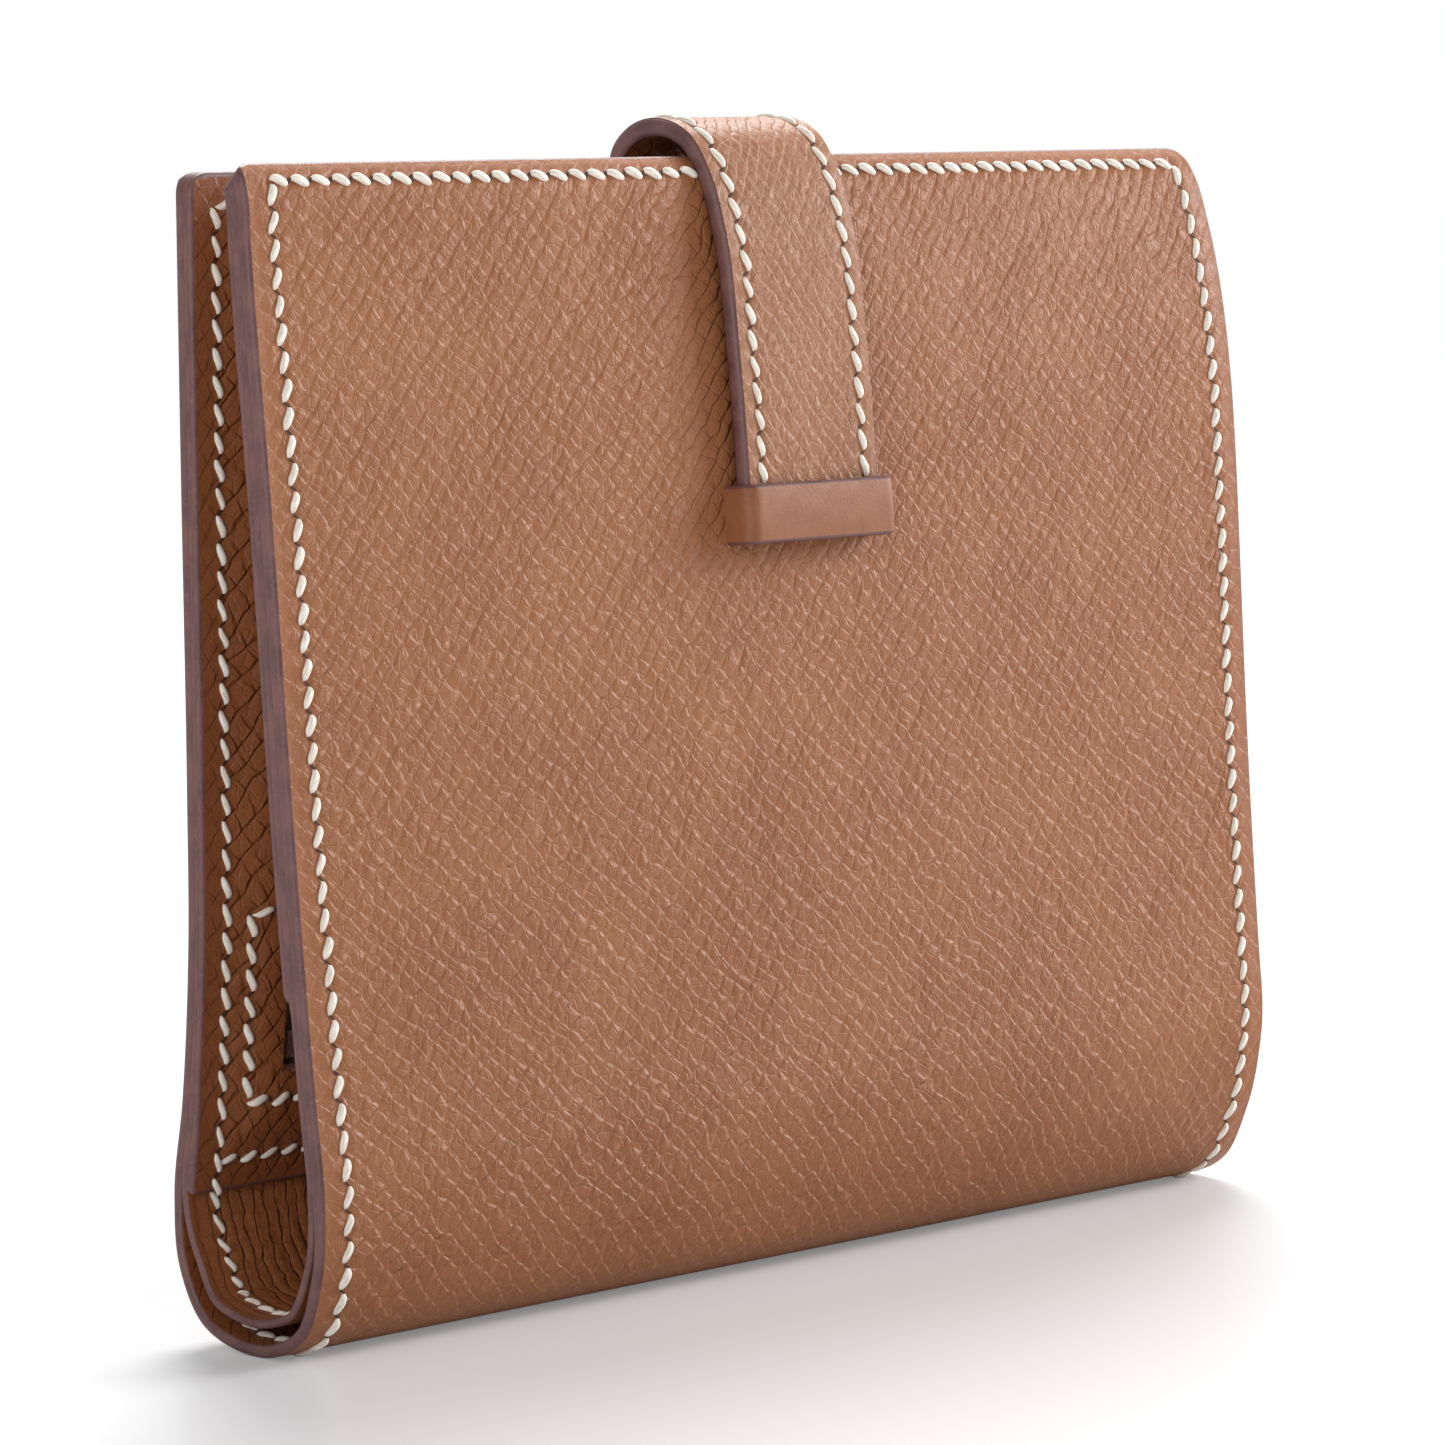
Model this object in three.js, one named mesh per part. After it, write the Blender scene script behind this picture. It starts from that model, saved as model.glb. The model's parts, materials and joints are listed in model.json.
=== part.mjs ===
// Compact bifold wallet: two leather leaves joined by a round fold, a zipped coin pocket on the back leaf,
// card slots on the front leaf, and a closing strap that is sewn to the back leaf, arches over the top
// edge and tucks into a keeper loop on the front leaf.
//
// Millimetres. +X runs along the fold, -Y is the front (keeper side), +Z is up. The wallet is closed and
// stands on its fold: the flat of the fold is at z = 0 and its middle is the origin.
//
// Every leather sheet is one flat plate. "Depth" counts inwards from the outer face of the leaf or of the
// fold strip that carries the sheet. The fold is three strips, so that its bend is four small hinges.
import * as THREE from "three";

// Whole wallet
const WIDTH = 118;
const LEAF_TOP = 95.6;
const BACK_FACE_Y = 9.2;
const FRONT_FACE_Y = -8.8;
const FRONT_LEAN = THREE.MathUtils.degToRad(6.5);
const LEAF_CORNER = 1.8;

// Fold: side lengths of the strips, and the depth of the hinge lines under the outer face
const FOLD_SIDE = 7.2;
const HINGE_DEPTH = 1.9;
const HINGE_GAP = 0.2;
const BACK_TURN = THREE.MathUtils.degToRad(45);
const FRONT_TURN = (Math.PI / 2 + FRONT_LEAN) / 2;

// Depths of the sheets, as [nearer the outside, nearer the inside]
const SHELL = [0, 1.0];
const LINER = [1.25, 1.8];
const COIN_LINING = [2.05, 2.35];
const COIN_PANEL = [2.6, 3.3];
const CARD_PANEL = [2.05, 2.75];
const FOLD_LINER = [2.4, 3.1];

// Card side
const CARD_MOUTH = 24.5;
const CARD_STEP = 11;
const CARD_SLOTS = 3;
const CARD_SLOT_WIDTH = 98;
const CARD_SHEET = 0.5;
const CARD_GAP = 0.25;
const CARD_SLOT_END = 78;

// Coin pocket and its zip, which runs along X
const COIN_PANEL_LOW = 12.4;
const ZIP_Z = 27.8;
const WINDOW_LENGTH = 101;
const WINDOW_HEIGHT = 10.2;
const TAPE_HEIGHT = 2.2;
const TAPE = [2.65, 3.05];
const TEETH_HEIGHT = 2.15;
const TEETH_LENGTH = 95;
const TEETH = [2.6, 3.9];
const ZIP_GAP = 0.3;
const STOP_LENGTH = 1.6;
const SLIDER_X = 40;
const SLIDER_LENGTH = 9;
const SLIDER_HEIGHT = 5.6;
const SLIDER = [4.2, 5.0];
const BRACKET = [5.1, 5.5];
const BRACKET_TOP = 7.6;
const BRACKET_LENGTH = 2.6;
const LUG_WIDTH = 0.8;
const PULL_WIDTH = 2.6;
const PULL_PIN_DEPTH = 6.75;
const PULL_PIN_RADIUS = 0.45;
const PULL_RING = [0.8, 1.15];
const PULL_LENGTH = 6;
const PULL_THICKNESS = 0.9;

// Strap and keeper
const STRAP_WIDTH = 16.2;
const STRAP_THICKNESS = 1.6;
const STRAP_DEPTH = -1.1;
const STRAP_BASE_LOW = 60;
const STRAP_RISE = 0.75;
const STRAP_TURN = (Math.PI - FRONT_LEAN) / 3;
const ARCH_BACK_LENGTH = 5.4;
const KEEPER_LOW = 58.2;
const KEEPER_HEIGHT = 5;
const KEEPER_WIDTH = 18.2;
const KEEPER_WALL = 0.7;
const KEEPER_DEPTH = 4.1;
const KEEPER_GAP = 0.25;
const TAIL_INSET = 0.6;

// Seams: thread lines laid on the leather
const SEAM_INSET = 2.6;
const SEAM_WIDTH = 0.8;
const SEAM_LIFT = 0.05;
const SEAM_HEIGHT = 0.2;
const STRAP_SEAM_INSET = 1.6;
const WINDOW_SEAM_MARGIN = 1.9;

const CURVE_SEGMENTS = 5;

const wallet = new THREE.Group();

// ---- materials ----

function finish(colour, roughness, metalness = 0) {
  return new THREE.MeshStandardMaterial({ color: colour, roughness, metalness });
}

const grainLeather = () => finish(0xa57257, 0.55);
const liningLeather = () => finish(0x825239, 0.6);
const smoothLeather = () => finish(0xab7e67, 0.42);
const cloth = () => finish(0x6b4a33, 0.9);
const tapeCloth = () => finish(0x7a4c2c, 0.85);
const thread = () => finish(0xe9e0d2, 0.7);
const zipMetal = () => finish(0xc9b88c, 0.3, 1);

// ---- geometry helpers ----

// Adds a named mesh to a group.
function addPart(group, name, geometry, material) {
  const mesh = new THREE.Mesh(geometry, material);
  mesh.name = name;
  group.add(mesh);
  return mesh;
}

// A flat plate: an outline in x and z, filling y from low to high.
function plate(outline, low, high) {
  const depth = high - low;
  const geometry = new THREE.ExtrudeGeometry(outline, {
    depth,
    bevelEnabled: false,
    curveSegments: CURVE_SEGMENTS,
  });
  return geometry.rotateX(Math.PI / 2).translate(0, high, 0);
}

// A straight prism along x, centred: a section of [z, y] points.
function prism(section, width) {
  const outline = new THREE.Shape(section.map(([z, y]) => new THREE.Vector2(-z, y)));
  const geometry = new THREE.ExtrudeGeometry(outline, { depth: width, bevelEnabled: false });
  return geometry.rotateY(Math.PI / 2).translate(-width / 2, 0, 0);
}

// A rectangle in x and z, with its top corners and, if asked, its bottom corners rounded.
function sheetOutline(width, low, high, topRadius = 0, bottomRadius = 0, Outline = THREE.Shape) {
  const half = width / 2;
  const outline = new Outline();
  outline.moveTo(-half + bottomRadius, low);
  outline.lineTo(half - bottomRadius, low);
  if (bottomRadius > 0) {
    outline.absarc(half - bottomRadius, low + bottomRadius, bottomRadius, -Math.PI / 2, 0, false);
  }
  outline.lineTo(half, high - topRadius);
  if (topRadius > 0) {
    outline.absarc(half - topRadius, high - topRadius, topRadius, 0, Math.PI / 2, false);
  }
  outline.lineTo(-half + topRadius, high);
  if (topRadius > 0) {
    outline.absarc(-half + topRadius, high - topRadius, topRadius, Math.PI / 2, Math.PI, false);
  }
  outline.lineTo(-half, low + bottomRadius);
  if (bottomRadius > 0) {
    outline.absarc(-half + bottomRadius, low + bottomRadius, bottomRadius, Math.PI, 1.5 * Math.PI, false);
  }
  return outline;
}

// A sheet outline with a smaller sheet outline cut out of it.
function frameOutline(width, low, high, inner) {
  const outline = sheetOutline(width, low, high, LEAF_CORNER);
  const { radius } = inner;
  outline.holes.push(sheetOutline(inner.width, inner.low, inner.high, radius, radius, THREE.Path));
  return outline;
}

// A closed band of thread, SEAM_WIDTH wide, whose outer edge is the given rectangle.
function ringSeam(width, low, high) {
  const outline = sheetOutline(width, low, high);
  const hole = sheetOutline(
    width - 2 * SEAM_WIDTH,
    low + SEAM_WIDTH,
    high - SEAM_WIDTH,
    0,
    0,
    THREE.Path,
  );
  outline.holes.push(hole);
  return outline;
}

// A band of thread along three sides of a rectangle: its open side is at z = open, its closed one at
// z = closed.
function threeSidedSeam(width, open, closed) {
  const half = width / 2;
  const inner = half - SEAM_WIDTH;
  const turn = closed - Math.sign(closed - open) * SEAM_WIDTH;
  return new THREE.Shape([
    new THREE.Vector2(-half, open),
    new THREE.Vector2(-half, closed),
    new THREE.Vector2(half, closed),
    new THREE.Vector2(half, open),
    new THREE.Vector2(inner, open),
    new THREE.Vector2(inner, turn),
    new THREE.Vector2(-inner, turn),
    new THREE.Vector2(-inner, open),
  ]);
}

// ---- frames of the leaves ----

// The outer faces meet the fold at these heights, and the flat of the fold ends at these y.
const backCornerZ = FOLD_SIDE * Math.cos(BACK_TURN);
const flatBackY = BACK_FACE_Y - FOLD_SIDE * Math.sin(BACK_TURN);
const frontCornerZ = FOLD_SIDE * Math.sin(FRONT_TURN);
const flatFrontY = FRONT_FACE_Y + FOLD_SIDE * Math.cos(FRONT_TURN);

// A hinge line lies this far along the outer face from the corner where two faces meet.
const hingeInset = (turn) => HINGE_DEPTH * Math.tan(turn / 2);

// Back leaf: local z is the height, local +y is outwards.
const backLeaf = new THREE.Group();
backLeaf.position.set(0, BACK_FACE_Y, 0);
wallet.add(backLeaf);

// Front leaf: local z runs up the leaf from its corner with the fold, local -y is outwards.
const frontLeaf = new THREE.Group();
frontLeaf.position.set(0, FRONT_FACE_Y, frontCornerZ);
frontLeaf.rotation.x = -FRONT_LEAN;
wallet.add(frontLeaf);
const frontTop = (LEAF_TOP - frontCornerZ) / Math.cos(FRONT_LEAN);

const backSheet = (outline, [outer, inner]) => plate(outline, -inner, -outer);
const frontSheet = (outline, [outer, inner]) => plate(outline, outer, inner);
const seamDepth = [-SEAM_LIFT - SEAM_HEIGHT, -SEAM_LIFT];
const seamOnInside = ([, inner]) => [inner + SEAM_LIFT, inner + SEAM_LIFT + SEAM_HEIGHT];

// ---- fold ----

// One strip of the fold: the outer shell and the liner inside it. Its middle is at (y, z) and its length runs
// in the direction turned by angle from +Z towards +Y. The liner's ends are mitred to meet the next strip.
function foldStrip(name, y, z, angle, length, lowTurn, highTurn) {
  const strip = new THREE.Group();
  strip.position.set(0, y, z);
  strip.rotation.x = -angle;
  wallet.add(strip);
  const low = -length / 2 + hingeInset(lowTurn);
  const high = length / 2 - hingeInset(highTurn);
  const shell = [
    [low + HINGE_GAP, -SHELL[0]],
    [low + HINGE_GAP, -SHELL[1]],
    [high - HINGE_GAP, -SHELL[1]],
    [high - HINGE_GAP, -SHELL[0]],
  ];
  const mitre = (depth, turn) => (depth - HINGE_DEPTH) * Math.tan(turn / 2) + HINGE_GAP;
  const [near, far] = FOLD_LINER;
  const liner = [
    [low + mitre(near, lowTurn), -near],
    [low + mitre(far, lowTurn), -far],
    [high - mitre(far, highTurn), -far],
    [high - mitre(near, highTurn), -near],
  ];
  addPart(strip, "fold_shell_" + name, prism(shell, WIDTH), grainLeather());
  addPart(strip, "fold_liner_" + name, prism(liner, WIDTH), liningLeather());
}

const flatLength = flatBackY - flatFrontY;
foldStrip("middle", (flatBackY + flatFrontY) / 2, 0, Math.PI / 2, flatLength, FRONT_TURN, BACK_TURN);
foldStrip(
  "back",
  (BACK_FACE_Y + flatBackY) / 2,
  backCornerZ / 2,
  BACK_TURN,
  FOLD_SIDE,
  BACK_TURN,
  BACK_TURN,
);
foldStrip(
  "front",
  (FRONT_FACE_Y + flatFrontY) / 2,
  frontCornerZ / 2,
  Math.PI / 2 + FRONT_TURN,
  FOLD_SIDE,
  FRONT_TURN,
  FRONT_TURN,
);

// ---- back leaf: shell, liner and coin pocket ----

const backLow = backCornerZ + hingeInset(BACK_TURN) + HINGE_GAP;
const leafSeamWidth = WIDTH - 2 * SEAM_INSET;

addPart(
  backLeaf,
  "back_shell",
  backSheet(sheetOutline(WIDTH, backLow, LEAF_TOP, LEAF_CORNER), SHELL),
  grainLeather(),
);
addPart(
  backLeaf,
  "back_liner",
  backSheet(sheetOutline(WIDTH, backLow, LEAF_TOP, LEAF_CORNER), LINER),
  liningLeather(),
);
addPart(
  backLeaf,
  "coin_pocket_lining",
  backSheet(sheetOutline(WIDTH - 16, COIN_PANEL_LOW + 6, LEAF_TOP - 8), COIN_LINING),
  cloth(),
);
addPart(
  backLeaf,
  "coin_pocket_panel",
  backSheet(
    frameOutline(WIDTH, COIN_PANEL_LOW, LEAF_TOP, {
      width: WINDOW_LENGTH,
      low: ZIP_Z - WINDOW_HEIGHT / 2,
      high: ZIP_Z + WINDOW_HEIGHT / 2,
      radius: 1,
    }),
    COIN_PANEL,
  ),
  liningLeather(),
);
addPart(
  backLeaf,
  "back_shell_seam",
  backSheet(threeSidedSeam(leafSeamWidth, backLow + 1, LEAF_TOP - SEAM_INSET), seamDepth),
  thread(),
);
addPart(
  backLeaf,
  "coin_panel_seam",
  backSheet(
    ringSeam(leafSeamWidth, COIN_PANEL_LOW + SEAM_INSET, LEAF_TOP - SEAM_INSET),
    seamOnInside(COIN_PANEL),
  ),
  thread(),
);
const windowSeamGrowth = 2 * (WINDOW_SEAM_MARGIN + SEAM_WIDTH / 2);
addPart(
  backLeaf,
  "zip_window_seam",
  backSheet(
    ringSeam(
      WINDOW_LENGTH + windowSeamGrowth,
      ZIP_Z - (WINDOW_HEIGHT + windowSeamGrowth) / 2,
      ZIP_Z + (WINDOW_HEIGHT + windowSeamGrowth) / 2,
    ),
    seamOnInside(COIN_PANEL),
  ),
  thread(),
);

// ---- zip ----

// The tape and the row of teeth on one side of the zip: side is 1 above the middle line and -1 below it.
function zipHalf(name, side) {
  const teethMiddle = ZIP_Z + side * (TEETH_HEIGHT / 2 + ZIP_GAP / 2);
  const tapeMiddle = teethMiddle + side * (TEETH_HEIGHT / 2 + ZIP_GAP + TAPE_HEIGHT / 2);
  const row = (width, middle, height) => sheetOutline(width, middle - height / 2, middle + height / 2);
  addPart(
    backLeaf,
    "zip_tape_" + name,
    backSheet(row(WINDOW_LENGTH - 2 * ZIP_GAP, tapeMiddle, TAPE_HEIGHT), TAPE),
    tapeCloth(),
  );
  addPart(
    backLeaf,
    "zip_teeth_" + name,
    backSheet(row(TEETH_LENGTH, teethMiddle, TEETH_HEIGHT), TEETH),
    zipMetal(),
  );
}

// The stop at one end of the teeth: end is -1 at the left and 1 at the right.
function zipStop(name, end) {
  const stop = plate(
    sheetOutline(STOP_LENGTH, ZIP_Z - TEETH_HEIGHT, ZIP_Z + TEETH_HEIGHT),
    -TEETH[1],
    -TEETH[0],
  );
  const part = addPart(backLeaf, "zip_stop_" + name, stop, zipMetal());
  part.position.x = end * (TEETH_LENGTH / 2 + ZIP_GAP + STOP_LENGTH / 2);
}

zipHalf("upper", 1);
zipHalf("lower", -1);
zipStop("left", -1);
zipStop("right", 1);

// Slider: its plate runs on the teeth, and a bracket with two lugs carries the pull on a pin along Z.
const slider = new THREE.Group();
slider.position.set(SLIDER_X, 0, ZIP_Z);
backLeaf.add(slider);
addPart(
  slider,
  "zip_slider_plate",
  plate(sheetOutline(SLIDER_LENGTH, -SLIDER_HEIGHT / 2, SLIDER_HEIGHT / 2, 1.6, 1.6), -SLIDER[1], -SLIDER[0]),
  zipMetal(),
);
const lugInner = PULL_WIDTH / 2 + ZIP_GAP;
const lugOuter = lugInner + LUG_WIDTH;
const bracketSection = [
  [-lugOuter, -BRACKET[0]],
  [lugOuter, -BRACKET[0]],
  [lugOuter, -BRACKET_TOP],
  [lugInner, -BRACKET_TOP],
  [lugInner, -BRACKET[1]],
  [-lugInner, -BRACKET[1]],
  [-lugInner, -BRACKET_TOP],
  [-lugOuter, -BRACKET_TOP],
];
addPart(slider, "zip_slider_bracket", prism(bracketSection, BRACKET_LENGTH), zipMetal());

const pin = new THREE.CylinderGeometry(PULL_PIN_RADIUS, PULL_PIN_RADIUS, 2 * lugInner - 0.2, 12);
const pinMesh = addPart(slider, "zip_pull_pin", pin.rotateX(Math.PI / 2), zipMetal());
pinMesh.position.y = -PULL_PIN_DEPTH;

// The pull lies flat over the teeth, pointing away from the closed end.
const pullOutline = new THREE.Shape();
const [ringInner, ringOuter] = PULL_RING;
const tabHalf = PULL_THICKNESS / 2;
const tabStart = Math.asin(tabHalf / ringOuter);
pullOutline.absarc(0, 0, ringOuter, -Math.PI + tabStart, Math.PI - tabStart, false);
pullOutline.lineTo(-PULL_LENGTH, tabHalf);
pullOutline.lineTo(-PULL_LENGTH, -tabHalf);
const pullEye = new THREE.Path();
pullEye.absarc(0, 0, ringInner, 0, 2 * Math.PI, true);
pullOutline.holes.push(pullEye);
const pull = new THREE.ExtrudeGeometry(pullOutline, {
  depth: PULL_WIDTH,
  bevelEnabled: false,
  curveSegments: 16,
});
pull.translate(0, -PULL_PIN_DEPTH, -PULL_WIDTH / 2);
addPart(slider, "zip_pull_tab", pull, zipMetal());

// ---- front leaf: shell, liner, card panel and card slots ----

const frontLow = hingeInset(FRONT_TURN) + HINGE_GAP;
const frontOutline = (low) => sheetOutline(WIDTH, low, frontTop, LEAF_CORNER);

addPart(frontLeaf, "front_shell", frontSheet(frontOutline(frontLow), SHELL), grainLeather());
addPart(frontLeaf, "front_liner", frontSheet(frontOutline(frontLow), LINER), liningLeather());
addPart(frontLeaf, "card_panel", frontSheet(frontOutline(CARD_MOUTH), CARD_PANEL), liningLeather());
for (let slot = 1; slot <= CARD_SLOTS; slot++) {
  const outer = CARD_PANEL[1] + CARD_GAP + (slot - 1) * (CARD_SHEET + CARD_GAP);
  const mouth = CARD_MOUTH + slot * CARD_STEP;
  addPart(
    frontLeaf,
    "card_slot_" + slot,
    frontSheet(sheetOutline(CARD_SLOT_WIDTH, mouth, CARD_SLOT_END), [outer, outer + CARD_SHEET]),
    liningLeather(),
  );
}
addPart(
  frontLeaf,
  "front_shell_seam",
  frontSheet(threeSidedSeam(leafSeamWidth, frontLow + 1, frontTop - SEAM_INSET), seamDepth),
  thread(),
);
addPart(
  frontLeaf,
  "card_panel_seam",
  frontSheet(
    threeSidedSeam(leafSeamWidth, CARD_MOUTH + 1, frontTop - SEAM_INSET),
    seamOnInside(CARD_PANEL),
  ),
  thread(),
);

// Keeper: a bar across the front leaf, on two short walls, with the strap's tail under it.
const keeperHalf = KEEPER_WIDTH / 2;
const keeperInner = keeperHalf - KEEPER_WALL;
const keeperOutline = new THREE.Shape([
  new THREE.Vector2(-keeperHalf, KEEPER_GAP),
  new THREE.Vector2(-keeperHalf, KEEPER_DEPTH),
  new THREE.Vector2(keeperHalf, KEEPER_DEPTH),
  new THREE.Vector2(keeperHalf, KEEPER_GAP),
  new THREE.Vector2(keeperInner, KEEPER_GAP),
  new THREE.Vector2(keeperInner, KEEPER_DEPTH - KEEPER_WALL),
  new THREE.Vector2(-keeperInner, KEEPER_DEPTH - KEEPER_WALL),
  new THREE.Vector2(-keeperInner, KEEPER_GAP),
]);
const keeper = new THREE.ExtrudeGeometry(keeperOutline, { depth: KEEPER_HEIGHT, bevelEnabled: false });
keeper.rotateZ(Math.PI).translate(0, 0, KEEPER_LOW);
addPart(frontLeaf, "keeper", keeper, smoothLeather());

// ---- strap ----

// One straight stretch of the strap between two points [y, z] on its middle line, with local z along it and
// local +y outwards. Where the strap bends at an end, that end's inner half is cut back by half the bend.
function strapPiece(name, start, length, angle, startBend, endBend) {
  const piece = new THREE.Group();
  piece.position.set(0, start[0], start[1]);
  piece.rotation.x = -angle;
  wallet.add(piece);
  const half = STRAP_THICKNESS / 2;
  const startGap = startBend > 0 ? HINGE_GAP : 0;
  const endGap = endBend > 0 ? HINGE_GAP : 0;
  const section = [
    [startGap, half],
    [startGap, 0],
    [startGap + half * Math.tan(startBend / 2), -half],
    [length - endGap - half * Math.tan(endBend / 2), -half],
    [length - endGap, 0],
    [length - endGap, half],
  ];
  addPart(piece, name, prism(section, STRAP_WIDTH), grainLeather());
  return piece;
}

// The point a given way from another, in the direction turned by angle from +Z towards +Y.
const along = ([y, z], angle, way) => [y + way * Math.sin(angle), z + way * Math.cos(angle)];

// Middle lines: up the back leaf, over the top edge in two stretches, then down the front leaf.
const strapY = BACK_FACE_Y - STRAP_DEPTH;
const bendBack = [strapY, LEAF_TOP + STRAP_RISE];
const bendTop = along(bendBack, -STRAP_TURN, ARCH_BACK_LENGTH);
const frontNormal = [Math.cos(FRONT_LEAN), -Math.sin(FRONT_LEAN)];
const depthUnderFrontFace = ([y, z]) =>
  (y - FRONT_FACE_Y) * frontNormal[0] + (z - frontCornerZ) * frontNormal[1];
const archFrontLength =
  (depthUnderFrontFace(bendTop) - STRAP_DEPTH) /
  -(Math.sin(-2 * STRAP_TURN) * frontNormal[0] + Math.cos(2 * STRAP_TURN) * frontNormal[1]);
const bendFront = along(bendTop, -2 * STRAP_TURN, archFrontLength);
const bendFrontHeight =
  (bendFront[0] - FRONT_FACE_Y) * Math.sin(FRONT_LEAN) + (bendFront[1] - frontCornerZ) * Math.cos(FRONT_LEAN);
const tailLength = bendFrontHeight - KEEPER_LOW - TAIL_INSET;

const baseLength = bendBack[1] - STRAP_BASE_LOW;
const base = strapPiece("strap_base", [strapY, STRAP_BASE_LOW], baseLength, 0, 0, STRAP_TURN);
strapPiece("strap_arch_back", bendBack, ARCH_BACK_LENGTH, -STRAP_TURN, STRAP_TURN, STRAP_TURN);
strapPiece("strap_arch_front", bendTop, archFrontLength, -2 * STRAP_TURN, STRAP_TURN, STRAP_TURN);
const tail = strapPiece("strap_tail", bendFront, tailLength, -3 * STRAP_TURN, STRAP_TURN, 0);

const strapSeamLow = STRAP_THICKNESS / 2 + SEAM_LIFT;
const strapSeamWidth = STRAP_WIDTH - 2 * STRAP_SEAM_INSET;
addPart(
  base,
  "strap_base_seam",
  plate(
    ringSeam(strapSeamWidth, STRAP_SEAM_INSET, baseLength - STRAP_SEAM_INSET),
    strapSeamLow,
    strapSeamLow + SEAM_HEIGHT,
  ),
  thread(),
);
addPart(
  tail,
  "strap_tail_seam",
  plate(
    threeSidedSeam(strapSeamWidth, STRAP_SEAM_INSET, tailLength - STRAP_SEAM_INSET),
    strapSeamLow,
    strapSeamLow + SEAM_HEIGHT,
  ),
  thread(),
);

export default wallet;
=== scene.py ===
"""Bifold wallet in tan grained leather: the looks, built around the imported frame.

Metres. +X runs along the fold, -Y is the front, +Z is up. Leather is described in its own flat coordinates:
x across the wallet, s the way along the leather, and depth, which counts inwards from the outer face.
"""

import json
import math

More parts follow.
